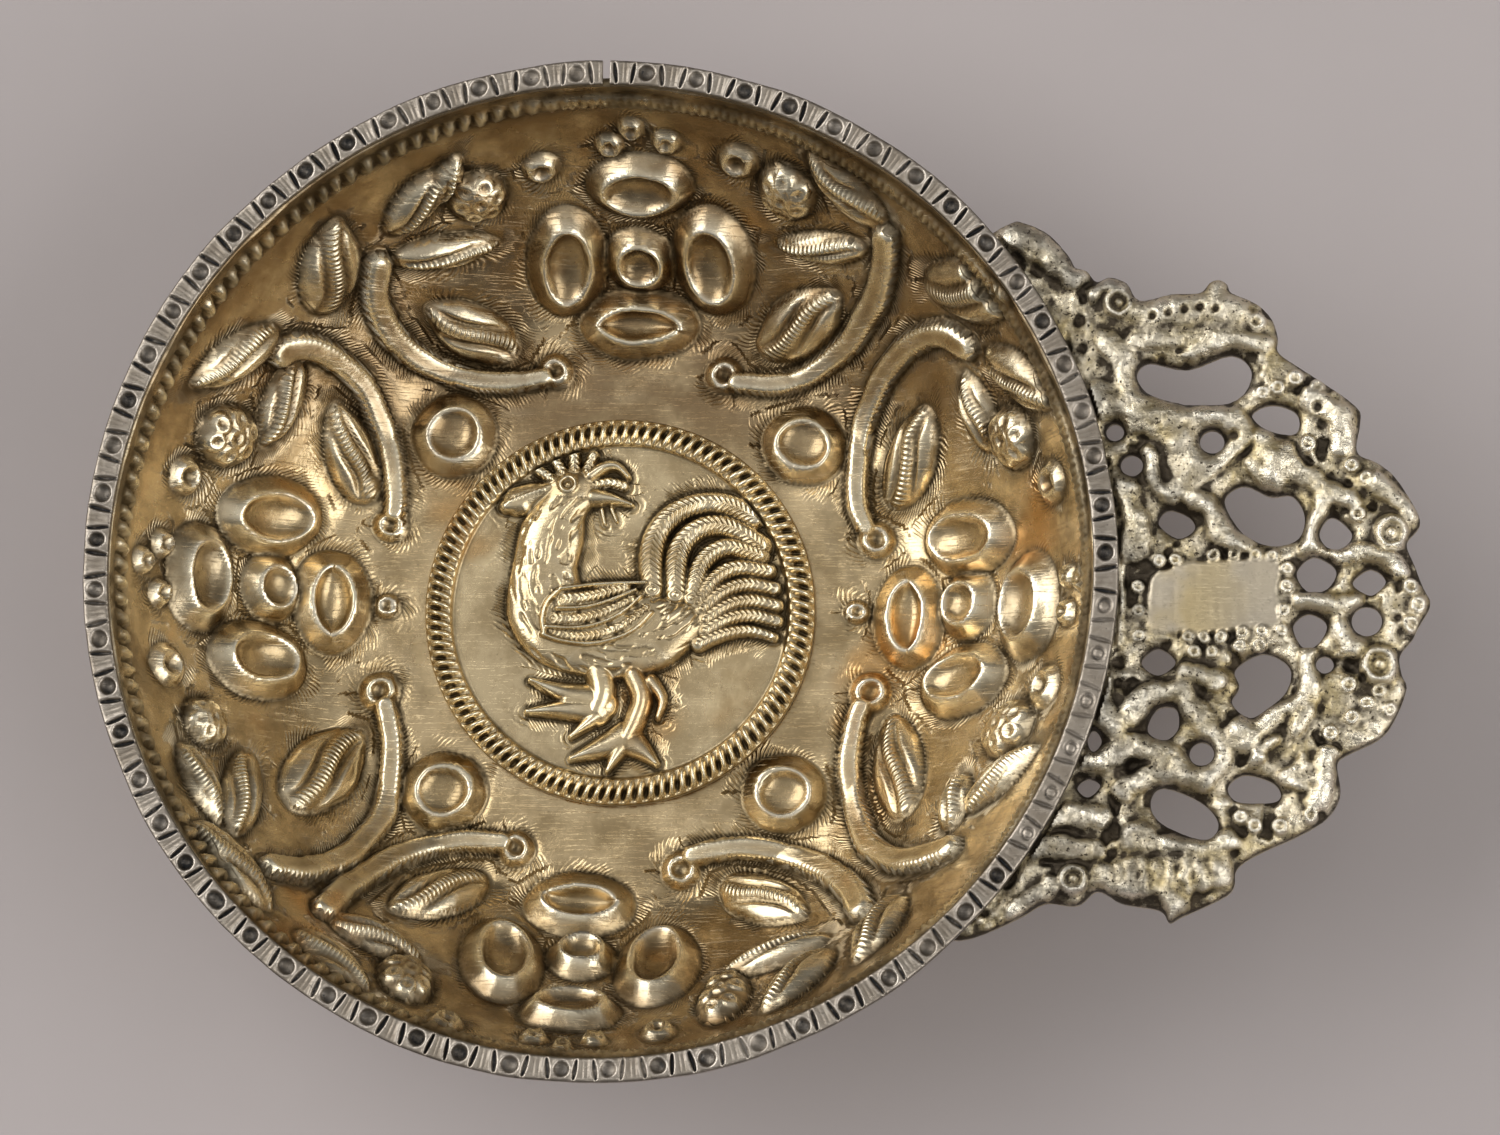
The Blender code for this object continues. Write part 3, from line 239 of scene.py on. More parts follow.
COCKEREL_EYE = (-4.84, 11.64, 0.8)
# The point round which the strokes on its neck and body run
PLUMAGE_PIVOT = (0.8, 4.2)

# Handle outline: x beyond the strip's outer edge, y from the cup's middle line.
# The first two and the last two points lie inside the wall, where the plate is cut to fit it.
OUTLINE = [
    (-17.5, 24.0), (-14.5, 28.5), (-10.0, 31.3), (-8.6, 31.4), (-6.4, 30.4), (-4.6, 28.4), (-4.0, 27.3),
    (-3.0, 27.0), (-2.1, 26.1), (-0.9, 26.5), (0.6, 25.9), (1.7, 24.3), (4.5, 24.9),
    (7.0, 25.0), (7.9, 25.9), (8.7, 26.2), (9.5, 25.8), (9.9, 25.0), (12.0, 24.1),
    (13.4, 22.8), (14.0, 21.0), (14.1, 19.6), (17.0, 17.6), (20.9, 14.8), (21.3, 13.4),
    (21.0, 10.7), (22.8, 9.7), (24.4, 8.4), (25.8, 6.2), (26.6, 4.2), (25.4, 2.5),
    (26.1, 0.5), (26.9, -1.6), (27.5, -3.0), (26.5, -4.9), (25.9, -6.1), (24.8, -7.6),
    (25.0, -9.4), (25.4, -10.5), (24.4, -13.2), (23.0, -15.0), (20.0, -16.5), (19.3, -17.4),
    (19.6, -20.0), (18.5, -22.0), (16.0, -23.6), (12.3, -25.3), (10.5, -26.6), (10.3, -28.1),
    (9.4, -29.1), (5.6, -30.9), (4.6, -31.4), (3.8, -30.3), (0.5, -29.7), (-1.7, -28.6),
    (-3.5, -29.9), (-6.3, -29.7), (-9.0, -31.2), (-14.0, -33.0), (-16.5, -31.0), (-18.0, -27.0),
]
# Pierced openings, first the shaped ones, then the round ones as (x, y, radius)
PIERCINGS = [
    [(1.5, 17.4), (2.5, 18.8), (6.0, 18.2), (9.9, 19.5), (11.7, 17.9), (10.4, 15.4), (6.6, 14.9),
     (3.0, 15.7)],
    [(11.7, 14.1), (13.5, 15.0), (15.7, 14.2), (15.6, 12.3), (13.0, 12.7)],
    [(3.5, 4.2), (4.3, 5.5), (6.2, 4.9), (6.7, 3.7), (5.2, 2.9)],
    [(9.3, 6.3), (11.0, 7.7), (13.4, 6.7), (15.3, 6.8), (16.4, 5.0), (15.9, 2.9), (13.6, 2.2), (11.0, 3.3)],
    [(17.7, 3.4), (18.8, 4.9), (20.6, 3.4), (19.8, 2.0), (18.4, 2.1)],
    [(15.7, -0.1), (17.2, 1.3), (19.2, 0.1), (18.4, -1.6), (16.6, -1.8)],
    [(20.6, -1.1), (22.2, 0.2), (23.6, -0.9), (22.3, -2.2)],
    [(15.4, -4.9), (16.8, -3.8), (18.4, -4.8), (17.6, -6.6), (16.2, -6.8)],
    [(2.0, -8.2), (3.5, -6.9), (5.1, -8.2), (3.5, -9.4)],
    [(10.3, -8.8), (12.8, -7.4), (15.1, -8.6), (14.9, -10.7), (13.4, -12.2), (11.6, -13.2), (10.0, -11.8),
     (10.7, -10.4)],
    [(2.6, -14.3), (3.4, -12.4), (5.1, -12.3), (5.3, -14.2), (4.0, -15.2)],
    [(-2.7, -15.1), (-2.1, -14.2), (-1.4, -15.3), (-2.2, -16.3)],
    [(-3.6, -19.4), (-2.6, -18.6), (-1.5, -19.2), (-2.6, -20.3)],
    [(9.7, -19.3), (11.2, -18.2), (13.8, -19.0), (14.3, -20.4), (12.5, -20.8), (10.4, -20.6)],
    [(3.0, -20.2), (4.2, -19.4), (7.4, -20.7), (8.9, -22.6), (7.9, -24.1), (5.0, -23.2), (3.2, -21.9)],
]
ROUND_PIERCINGS = [
    (-0.4, 12.5, 0.8), (8.2, 11.6, 1.1), (1.1, 9.5, 1.0), (21.9, -4.5, 1.35), (18.2, -8.4, 0.8),
    (7.4, -16.4, 1.1),
]
# Cast relief: eyes and ringed beads as (x, y, radius), bodies and stems as
# (points, half width, height), with the ribs to a millimetre where they are ribbed
EYES = [
    (-0.1, 23.95, 1.5), (-3.8, -27.7, 1.45), (24.1, 3.2, 1.7), (23.05, -8.6, 1.8),
]
RINGED_BEADS = [
    (12.1, 22.3, 0.95), (12.7, 15.8, 0.7), (14.0, 16.3, 0.75), (15.6, 17.2, 0.8), (17.5, 16.5, 0.75),
    (19.2, 15.3, 0.8), (16.7, 11.2, 0.85), (20.5, 9.3, 0.75), (21.9, 8.2, 0.75), (21.1, 4.9, 0.8),
    (25.8, -1.6, 0.85), (26.4, -3.2, 0.8), (25.8, -5.0, 0.85), (20.3, -10.4, 0.8), (23.0, -10.9, 0.7),
    (22.0, -12.0, 0.75), (20.6, -13.3, 0.75), (18.7, -14.7, 0.8), (24.0, -12.6, 0.7), (17.0, -22.0, 0.75),
    (14.3, -22.9, 0.8), (12.1, -22.9, 0.75), (10.9, -22.1, 0.7),
]
TABLET_BEADS = [
    (14.9, 0.0), (14.9, -1.6), (14.7, -3.7), (14.5, -5.5), (13.6, 1.1), (12.1, 1.2), (10.2, 1.3), (8.4, 1.2),
    (5.0, 0.8), (3.6, 0.7), (12.7, -5.6), (10.9, -5.7), (9.1, -6.1), (7.6, -6.1), (6.2, -6.1), (12.4, -6.9),
    (10.8, -7.0), (8.3, -7.4), (6.7, -7.4), (1.8, -1.6), (1.8, -3.8), (1.8, -6.0),
]
TABLET_BEAD_RADIUS = 0.72
CAST_RIDGES = [
    ([(-9.4, 30.5), (-7.4, 29.4), (-5.6, 27.5), (-4.0, 26.3)], 1.1, 0.75),
    ([(-2.3, 24.4), (-1.3, 25.5), (0.3, 25.6), (1.6, 24.5)], 0.5, 0.9),
    ([(1.7, 23.0), (4.2, 23.4), (7.4, 23.7), (10.2, 23.1)], 1.35, 0.85),
    ([(8.3, 24.2), (8.7, 25.5)], 0.85, 0.75),
    ([(1.4, 20.7), (4.2, 20.9), (10.0, 21.1), (12.9, 20.2)], 0.8, 0.6),
    ([(-1.4, 20.6), (0.4, 19.3), (0.7, 17.6), (0.6, 16.0)], 0.9, 0.75),
    ([(-1.4, 15.0), (1.8, 14.2), (4.6, 13.2), (5.8, 11.2), (6.6, 9.2)], 1.6, 0.9),
    ([(7.0, 13.4), (9.0, 13.9), (10.6, 13.0)], 1.1, 0.8),
    ([(5.1, 6.7), (7.8, 8.0), (10.0, 9.9), (11.6, 11.8)], 0.3, 0.75),
    ([(4.8, 7.2), (7.5, 8.5), (9.7, 10.4), (11.3, 12.3)], 0.3, 0.75),
    ([(4.5, 7.7), (7.2, 9.0), (9.4, 10.9), (11.0, 12.8)], 0.3, 0.75),
    ([(2.6, 10.6), (3.0, 7.8), (4.6, 6.4)], 0.6, 0.75),
    ([(0.2, 7.8), (1.2, 5.6), (2.0, 3.4), (1.0, 1.6)], 1.0, 0.7),
    ([(6.6, 6.8), (8.2, 5.2), (9.0, 3.2), (11.0, 2.2)], 0.85, 0.85),
    ([(13.5, 9.6), (13.7, 9.5)], 1.8, 1.0),
    ([(12.7, 11.6), (12.9, 11.5)], 0.85, 0.85),
    ([(15.0, 9.4), (17.0, 8.0), (19.2, 6.6), (20.4, 6.0)], 0.85, 0.75),
    ([(16.9, 1.9), (17.3, 4.8), (18.4, 6.6)], 0.65, 0.7),
    ([(17.0, 15.4), (18.8, 14.4), (20.0, 13.2), (20.0, 11.2)], 1.0, 0.7),
    ([(22.8, 7.6), (24.6, 6.4), (25.4, 4.9)], 0.85, 0.7),
    ([(19.6, 1.4), (21.6, 1.6), (23.4, 1.2), (25.0, -0.2)], 0.75, 0.7),
    ([(15.9, -3.0), (18.2, -2.9), (20.6, -3.0)], 0.75, 0.8),
    ([(19.4, -5.0), (20.4, -6.6), (21.4, -7.2)], 0.8, 0.7),
    ([(-0.6, 1.4), (-0.4, -2.4), (-0.6, -6.2)], 0.9, 0.5),
    ([(-1.4, -9.8), (-1.9, -12.0), (-0.3, -14.1)], 1.0, 0.85),
    ([(-4.4, -17.4), (-1.2, -17.1), (0.9, -15.9), (2.5, -16.1), (4.5, -16.8), (6.0, -18.4)], 1.05, 0.85, 1.4),
    ([(1.2, -13.2), (2.4, -11.2), (4.6, -10.8), (6.8, -12.4), (8.4, -14.7), (8.9, -17.2),
      (7.4, -18.9)], 0.95, 0.8),
    ([(6.2, -9.3), (8.9, -10.0)], 0.85, 0.8),
    ([(11.0, -14.9), (11.4, -14.8)], 1.25, 0.95),
    ([(12.4, -16.6), (13.8, -15.2)], 0.32, 0.8),
    ([(12.0, -17.2), (13.0, -16.9)], 0.32, 0.8),
    ([(13.1, -13.8), (14.6, -12.6), (16.4, -11.4)], 0.7, 0.75),
    ([(16.6, -8.0), (16.9, -10.2), (16.6, -12.4), (15.6, -14.2)], 0.8, 0.75),
    ([(18.6, -16.6), (18.3, -18.8), (17.4, -20.9)], 0.85, 0.8),
    ([(0.4, -20.0), (1.8, -18.7), (4.4, -18.6)], 0.75, 0.65),
    ([(-6.4, -22.3), (-4.0, -22.0), (-1.5, -22.3)], 0.95, 0.85, 1.35),
    ([(-7.6, -24.9), (-4.6, -24.8), (-1.8, -25.0)], 0.75, 0.6),
    ([(-1.0, -27.6), (2.7, -27.3), (5.8, -27.3), (8.6, -26.9)], 1.35, 0.9, 0.85),
    ([(4.5, -29.0), (4.8, -30.4)], 0.8, 0.75),
    ([(2.0, -24.0), (2.2, -24.2)], 1.2, 0.85),
    ([(4.4, -24.6), (7.9, -25.0), (10.0, -24.2)], 0.8, 0.75),
    ([(-8.8, -30.6), (-6.8, -29.4), (-5.8, -28.2)], 0.9, 0.65),
]
# Fans of shells: (x, y) of the root, then of the rays' ends
FANS = [
    [(14.4, -18.4), (16.4, -16.6), (17.0, -17.4), (17.1, -18.4), (16.7, -19.4)],
    [(8.9, 19.9), (5.9, 19.4), (6.2, 20.2), (7.0, 20.9), (8.0, 21.3)],
]
# Sunk places as (x, y, radius)
HANDLE_PITS = [
    (2.9, 22.7, 0.5), (4.3, 23.0, 0.5), (5.7, 23.3, 0.5), (7.1, 23.5, 0.5), (8.5, 23.3, 0.45),
    (17.4, 14.5, 0.6), (16.7, 9.6, 0.6), (0.1, -8.3, 0.8), (-7.4, 27.0, 0.9), (-3.6, 22.4, 0.7),
    (3.8, 18.9, 0.5), (10.2, 12.0, 0.6), (10.9, -17.2, 0.6), (20.4, -8.6, 0.6), (7.0, -22.0, 0.5),
    (-0.4, -25.4, 0.6), (20.2, 7.6, 0.5), (22.4, 5.6, 0.5), (21.6, -9.6, 0.5),
]
TABLET = [
    (2.9, -5.5), (2.6, -3.0), (2.9, -0.7), (4.6, 0.1), (6.4, 0.6), (9.0, 0.8), (11.4, 0.9), (14.1, 0.7),
    (14.0, -2.4), (13.9, -5.0), (11.4, -5.3), (8.6, -5.7), (5.6, -5.7),
]

# Camera: where it stands from straight above, and the millimetres that the picture is wide at the lip
CAMERA_TILT = math.radians(10.2)
CAMERA_LEAN = math.radians(4.0)
CAMERA_DISTANCE = 850.0
PICTURE_WIDTH = 132.7
PICTURE_MIDDLE = (13.45, -0.1, 25.0)

# Softboxes as (name, place, width, power), the place they face, and the room's greys
SOFTBOXES = [
    ("left_softbox", (-1.2, 0.45, 0.95), 1.75, 23.0),
    ("right_fill", (1.1, -0.45, 0.8), 1.3, 10.5),
]
LIT_PLACE = (0.0, 0.0, 0.02)
ROOM_LOW = (0.16, 0.156, 0.152)
ROOM_OVERHEAD = (0.52, 0.51, 0.50)
ROOM_SIDES = (0.85, 0.84, 0.83)
TABLE_WIDTH = 3.2
TABLE_DROP = 0.03
TABLE_GREYS = ((0.428, 0.386, 0.378), (0.438, 0.395, 0.387))

# Metals: the colours of the skin, its clouds, the rubbed crests, the painted highlight on the boss rings and
# the dark hollows (soiling and painted shade), then how strong each kind of wear and painted shade is. Scales
# count cells in a metre, and depths of marks are in millimetres.
GILDING = {
    "skin": (0.82, 0.66, 0.40), "cloud": (0.55, 0.42, 0.235), "bright": (0.97, 0.88, 0.66),
    # The first colour on the next line is a painted highlight for the crests of the boss rings
    "ring_highlight": (0.72, 0.65, 0.56), "deep": (0.05, 0.034, 0.016), "blush": (0.66, 0.34, 0.09),
    "depth": 1.0, "patch": 230.0, "scratch": 260.0, "scratch_depth": 0.006, "specks": 0.5,
    "speck_level": 0.66, "strokes": 0.06, "grain": 1500.0, "grain_depth": 0.03, "darkest": 0.94,
    "rough": (0.15, 0.29),
}
SILVER = {
    "skin": (0.40, 0.35, 0.29), "cloud": (0.275, 0.232, 0.182), "bright": (0.60, 0.54, 0.47),
    "deep": (0.022, 0.024, 0.028), "depth": 1.15, "patch": 260.0, "scratch": 420.0,
    "scratch_depth": 0.012, "specks": 0.4, "speck_level": 0.62, "grain": 1800.0,
    "grain_depth": 0.03, "darkest": 0.96, "rough": (0.30, 0.44),
}
LOOKS = {
    "gilt_sheet": dict(
        GILDING, skin=(0.78, 0.605, 0.35), cloud=(0.46, 0.34, 0.18), wall=(0.76, 0.625, 0.41),
        # The second colour on the next line is the painted shade for the back and front walls
        wall_cloud=(0.32, 0.245, 0.145), brown=(0.31, 0.21, 0.11), depth=0.85, patch=170.0,
        scratch_depth=0.014,
    ),
    "gilt_roundel": GILDING,
    "silver_strip": SILVER,
    "cast_silver": dict(
        SILVER, skin=(0.76, 0.67, 0.50), cloud=(0.49, 0.395, 0.21), bright=(0.97, 0.91, 0.77),
        deep=(0.045, 0.034, 0.024), tablet=(0.57, 0.50, 0.39), gilding=(0.60, 0.48, 0.27),
        smoke=0.6, depth=1.75, specks=0.85, speck_level=0.585, grain=1500.0, grain_depth=0.2,
        rough=(0.22, 0.38),
    ),
}


def smooth(t):
    """Eased step from 0 to 1."""
    t = np.clip(t, 0.0, 1.0)
    return t * t * (3.0 - 2.0 * t)


def bell(value, middle, width):
    """1 in the middle, falling away smoothly on both sides."""
    return np.exp(-(((value - middle) / width) ** 2))


def domed(t, power=0.6):
    """Height of a round dome, from 1 in its middle to 0 at its edge, where t is 1."""
    return np.clip(1.0 - t**2, 0.0, 1.0) ** power


def quarter_round(depth, width):
    """A rounded edge, from 0 at the edge to 1 where the depth reaches the width."""
    return np.sqrt(np.clip(1.0 - (1.0 - np.clip(depth / width, 0.0, 1.0)) ** 2, 0.0, 1.0))


def rounded(points, rounds=2):
    """Cut a polyline's corners, keeping its ends."""
    line = np.array(points, dtype=float)
    for _ in range(rounds):
        near = 0.75 * line[:-1] + 0.25 * line[1:]
        far = 0.25 * line[:-1] + 0.75 * line[1:]
        middle = np.stack([near, far], axis=1).reshape(-1, 2)
        line = np.vstack([line[:1], middle[1:-1], line[-1:]])
    return line


def follow_line(x, y, line):
    """Distance from each point to a polyline, and the length along the line there."""
    gap = np.full(x.shape, np.inf)
    along = np.zeros_like(x)
    run = 0.0
    for (ax, ay), (bx, by) in zip(line[:-1], line[1:]):
        dx = bx - ax
        dy = by - ay
        length = math.hypot(dx, dy)
        t = np.clip(((x - ax) * dx + (y - ay) * dy) / length**2, 0.0, 1.0)
        here = np.hypot(x - ax - t * dx, y - ay - t * dy)
        closer = here < gap
        gap = np.where(closer, here, gap)
        along = np.where(closer, run + t * length, along)
        run += length
    return gap, along


def closed_curve(points, steps=4):
    """A smooth closed outline through the points."""
    knots = np.array(points, dtype=float)
    before = np.roll(knots, 1, axis=0)
    after = np.roll(knots, -1, axis=0)
    later = np.roll(knots, -2, axis=0)
    square = 2.0 * before - 5.0 * knots + 4.0 * after - later
    cube = 3.0 * knots - before - 3.0 * after + later
    pieces = []
    for k in range(steps):
        t = k / steps
        pieces.append(0.5 * (2.0 * knots + (after - before) * t + square * t**2 + cube * t**3))
    return np.stack(pieces, axis=1).reshape(-1, 2)


def inside_depth(x, y, outline):
    """Distance to a closed outline, positive inside it."""
    ring = np.vstack([outline, outline[:1]])
    gap, _ = follow_line(x, y, ring)
    within = np.zeros(x.shape, dtype=bool)
    for (ax, ay), (bx, by) in zip(ring[:-1], ring[1:]):
        if ay != by:
            within ^= ((ay > y) != (by > y)) & (x < (bx - ax) * (y - ay) / (by - ay) + ax)
    return np.where(within, gap, -gap)


def uneven(x, y, cell, seed, octaves=3):
    """Smooth hand-made unevenness between about -1 and 1, in bumps of the given size."""
    size = 128
    total = np.zeros_like(x)
    for k in range(octaves):
        table = np.random.default_rng(seed + k).uniform(-1.0, 1.0, (size, size))
        u = x * 2**k / cell + 37.2
        v = y * 2**k / cell + 11.7
        i = np.floor(u).astype(int)
        j = np.floor(v).astype(int)
        fu = smooth(u - i)
        fv = smooth(v - j)
        i0 = i % size
        i1 = (i + 1) % size
        j0 = j % size
        j1 = (j + 1) % size
        low = table[i0, j0] * (1.0 - fu) + table[i1, j0] * fu
        high = table[i0, j1] * (1.0 - fu) + table[i1, j1] * fu
        total += 0.5**k * (low * (1.0 - fv) + high * fv)
    return total / (2.0 - 0.5 ** (octaves - 1))


class ChasedWork:
    """Heights and tool marks over a set of drawn points, built up one motif at a time."""

    def __init__(self, x, y):
        self.x = x
        self.y = y
        self.height = np.zeros_like(x)
        for name, start in TOOL_MARKS.items():
            setattr(self, name, np.full_like(x, start))

    def near(self, points, margin):
        """Rows of the points within the margin of the drawn ones."""
        low = np.min(points, axis=0) - margin - LASH_REACH
        high = np.max(points, axis=0) + margin + LASH_REACH
        inside = (self.x > low[0]) & (self.x < high[0]) & (self.y > low[1]) & (self.y < high[1])
        return np.flatnonzero(inside)

    def lift(self, pick, height, hatch=0.0, hatched=0.0, ring=FAR):
        """Raise the picked points where this motif stands higher than what is there."""
        higher = height > self.height[pick]
        rows = pick[higher]
        self.height[rows] = height[higher]
        self.hatch[rows] = np.broadcast_to(hatch, height.shape)[higher]
        self.hatched[rows] = np.broadcast_to(hatched, height.shape)[higher]
        self.ring[rows] = np.broadcast_to(ring, height.shape)[higher]

    def outline(self, pick, edge, around):
        """Note how far the picked points lie outside this motif, where it is the nearest."""
        closer = edge < self.edge[pick]
        rows = pick[closer]
        self.edge[rows] = edge[closer]
        self.around[rows] = around[closer]

    def oval(self, cx, cy, half_x, half_y):
        """Rows of the points near an oval, and where they lie in shares of its half sizes."""
        pick = self.near([(cx, cy)], max(half_x, half_y))
        return pick, (self.x[pick] - cx) / half_x, (self.y[pick] - cy) / half_y

    def boss(self, cx, cy, half_x, half_y, height, ring=0.66, hollow=0.62):
        """A raised oval with a crisp ring and a dish in its top, its foot easing into the ground."""
        foot = 1.1
        pick, u, v = self.oval(cx, cy, half_x, half_y)
        reach = np.hypot(u, v)
        size = 0.5 * (half_x + half_y)
        shoulder = (1.0 - ring) * min(half_x, half_y)
        within = np.hypot(u * half_x / (half_x - shoulder), v * half_y / (half_y - shoulder))
        beyond = np.maximum(within - 1.0, 0.0)
        side = beyond / (beyond + np.maximum(foot - reach, 0.0) + 1e-6)
        dish = hollow * (1.0 - np.minimum(within, 1.0) ** 2.8)
        body = 1.0 - side**1.35 + 0.1 * bell(within, 1.0, 0.15) - dish
        self.lift(pick, height * body * (reach < foot), ring=(within - 1.0) * (size - shoulder))
        self.outline(pick, (reach - foot) * size, np.arctan2(v, u) * size)

    def berry(self, cx, cy, half_x, half_y, height):
        """A dome punched all over with small rings."""
        pick, u, v = self.oval(cx, cy, half_x, half_y)
        reach = np.hypot(u, v)
        size = 0.5 * (half_x + half_y)
        self.lift(pick, height * domed(reach))
        self.outline(pick, (reach - 1.0) * size, np.arctan2(v, u) * size)
        rings = [(cx, cy)]
        for k in range(6):
            turn = math.tau * k / 6 + 0.3
            rings.append((cx + 0.62 * half_x * math.cos(turn), cy + 0.62 * half_y * math.sin(turn)))
        gaps = [np.hypot(self.x[pick] - rx, self.y[pick] - ry) for rx, ry in rings]
        on = reach < 0.98
        gap = np.minimum.reduce(gaps)[on] / (0.32 * min(half_x, half_y))
        self.pearl[pick[on]] = gap
        self.height[pick[on]] += 0.22 * bell(gap, 0.7, 0.3) - 0.1 * (gap > 1.2)

    def bud(self, cx, cy, half_length, half_width, turn, height, lean=0.0):
        """A pointed oval whose hatched ridge bends between two smooth lobes, leaning to one side."""
        pick = self.near([(cx, cy)], half_length)
        c = math.cos(math.radians(turn))
        s = math.sin(math.radians(turn))
        along = (self.x[pick] - cx) * c + (self.y[pick] - cy) * s
        across = (self.y[pick] - cy) * c - (self.x[pick] - cx) * s
        u = along / half_length
        v = across / half_width / (1.0 - 0.35 * np.clip(u, 0.0, 1.0) ** 2)
        reach = np.hypot(u, v)
        dome = domed(reach)
        bent = v - lean - 0.24 * np.sin(2.4 * u)
        crest = bell(bent, 0.0, 0.2)
        groove = bell(np.abs(bent), 0.37, 0.11)
        body = height * dome * (1.0 + 0.1 * crest - 0.4 * groove)
        self.lift(pick, body, (along + 0.35 * across) / 0.55, crest * smooth(dome / 0.5))
        size = 0.5 * (half_length + half_width)
        self.outline(pick, (reach - 1.0) * half_width, np.arctan2(v, u) * size)

    def ridge(
        self, points, half_width, height, ribs=0.0, depth=0.1, ends=(1.0, 1.0), swell=2.0,
        edge_hatch=0.0, full_hatch=0.0, slant=0.0,
    ):
        """A bar along a line, its width drawn from end to end, ribbed or hatched across where told."""
        line = rounded(points)
        pick = self.near(line, half_width * max(ends))
        gap, along = follow_line(self.x[pick], self.y[pick], line)
        share = along / np.max(along, initial=1e-6)
        width = half_width * (ends[0] + (ends[1] - ends[0]) * share)
        side = np.clip(gap / width, 0.0, 1.0)
        body = height * (1.0 - side**swell) ** 0.65
        slanted = along + slant * gap
        if ribs:
            body = body * (1.0 - depth + depth * np.cos(math.tau * ribs * slanted))
        at_edge = edge_hatch * np.clip(1.6 * side - 0.6, 0.0, 1.0)
        self.lift(pick, body, slanted / 0.5, at_edge + full_hatch * smooth((1.0 - side) / 0.3))
        self.outline(pick, gap - width, along)

    def press_ground(self, depth, width, line_depth):
        """Sink the ground beside the motifs, deepest in the chased line at their foot."""
        outside = np.maximum(self.edge, 0.0)
        ground = smooth(1.0 - self.height / 0.15)
        self.height -= ground * depth * bell(outside, 0.0, width)
        self.height -= ground * line_depth * bell(outside, 0.1, 0.3)


def bowl_face():
    """Points (r, z) over the smooth inner face, centre to lip, with their arc length and inward normal."""
    knots = [
        Vector((FLOOR_RADIUS, SHEET, 0.0)),
        Vector((FLOOR_RADIUS + FOOT_CURVE, SHEET, 0.0)),
        Vector((LIP_RADIUS - LIP_LEAN, SHEET + 0.55 * BOWL_DEPTH, 0.0)),
        Vector((LIP_RADIUS, LIP_Z, 0.0)),
    ]
    wall = np.array(interpolate_bezier(*knots, WALL_POINTS))[:, :2]
    across = np.linspace(0.0, FLOOR_RADIUS, FLOOR_POINTS, endpoint=False)
    points = np.vstack([np.column_stack([across, np.full(FLOOR_POINTS, SHEET)]), wall])
    arc = np.concatenate([[0.0], np.cumsum(np.linalg.norm(np.diff(points, axis=0), axis=1))])
    along = np.gradient(points, axis=0)
    along /= np.linalg.norm(along, axis=1)[:, None]
    inward = np.column_stack([-along[:, 1], along[:, 0]])
    return points, arc, inward


def chase_bowl(arc, angle):
    """The flowers, stems and leaves raised from behind over the bowl's face."""
    x = arc * np.cos(angle)
    y = arc * np.sin(angle)
    work = ChasedWork(x + WANDER * uneven(x, y, 4.0, 3), y + WANDER * uneven(x, y, 4.0, 9))
    for points in STEMS:
        work.ridge(points, STEM_HALF_WIDTH, STEM_HEIGHT, ends=(0.72, 1.15), swell=6.0, edge_hatch=0.35)
    for bud in BUDS:
        work.bud(*bud, LEAF_HEIGHT)
    for leaf in LEAVES:
        work.bud(*leaf, LEAF_HEIGHT, lean=-0.25)
    for berry in BERRIES:
        work.berry(*berry, LEAF_HEIGHT)
    for cx, cy, radius in RINGS:
        work.boss(cx, cy, radius, radius, RING_HEIGHT, ring=0.6, hollow=0.9)
    for boss in CORNER_BOSSES:
        work.boss(*boss, 0.8 * PETAL_HEIGHT)
    for boss in BOSSES:
        work.boss(*boss, PETAL_HEIGHT)
    work.press_ground(depth=0.1, width=1.4, line_depth=0.07)
    beside_roundel = smooth((arc - ROUNDEL_RADIUS - 0.5) / 2.0)
    work.height += beside_roundel * (0.2 * uneven(x, y, 11.0, 21, 2) + 0.08 * uneven(x, y, 3.0, 25, 2))
    from_rib = arc - RIB_ARC
    dents = 0.5 + 0.5 * np.cos(angle * RIB_DENTS + 2.2 * uneven(x, y, 7.0, 27, 2) + 0.9 * from_rib)
    strokes = 0.5 + 0.5 * np.cos(angle * RIB_STROKES + 2.2 * from_rib)
    left = smooth((np.cos(angle - math.radians(175.0)) - 0.1) / 0.3)
    worked = RIB_HEIGHT - left * 0.95 * dents**2 - (1.0 - left) * 0.4 * strokes
    on_rib = np.abs(from_rib) < RIB_HALF_WIDTH
    work.height = np.where(on_rib, domed(from_rib / RIB_HALF_WIDTH) * worked, work.height)
    work.edge[on_rib] = FAR
    return work


def make_mesh(name, points, faces):
    """A smooth-shaded mesh from points in millimetres."""
    mesh = bpy.data.meshes.new(name)
    mesh.from_pydata((points * MM).tolist(), [], faces)
    mesh.validate()
    mesh.shade_smooth()
    return mesh


def give_values(mesh, name, values):
    """Store one number per vertex for the materials to read."""
    layer = mesh.attributes.new(name, "FLOAT", "POINT")
    layer.data.foreach_set("value", np.ascontiguousarray(values, dtype=np.float32))


def spread(mesh, values, rounds):
    """Values averaged with their neighbours over the mesh."""
    count = len(mesh.vertices)
    edges = np.empty(len(mesh.edges) * 2, dtype=np.int32)
    mesh.edges.foreach_get("vertices", edges)
    start = edges[0::2]
    end = edges[1::2]
    degree = np.maximum(np.bincount(edges, minlength=count), 1)
    for _ in range(rounds):
        total = np.bincount(start, values[end], count) + np.bincount(end, values[start], count)
        values = 0.5 * values + 0.5 * total / degree
    return values


def give_hollows(mesh, height, rounds, depth):
    """Store how far each point lies below or above its surroundings, from 0 to 1."""
    above = height - spread(mesh, height, rounds)
    give_values(mesh, "hollow", np.clip(-above / depth, 0.0, 1.0))
    give_values(mesh, "crest", np.clip(above / depth, 0.0, 1.0))


def give_tool_marks(mesh, work):
    """Store the hatching and outlines, for the worked face's own points only."""
    for name, start in TOOL_MARKS.items():
        values = np.full(len(mesh.vertices), start)
        values[: len(work.x)] = getattr(work, name)
        give_values(mesh, name, values)


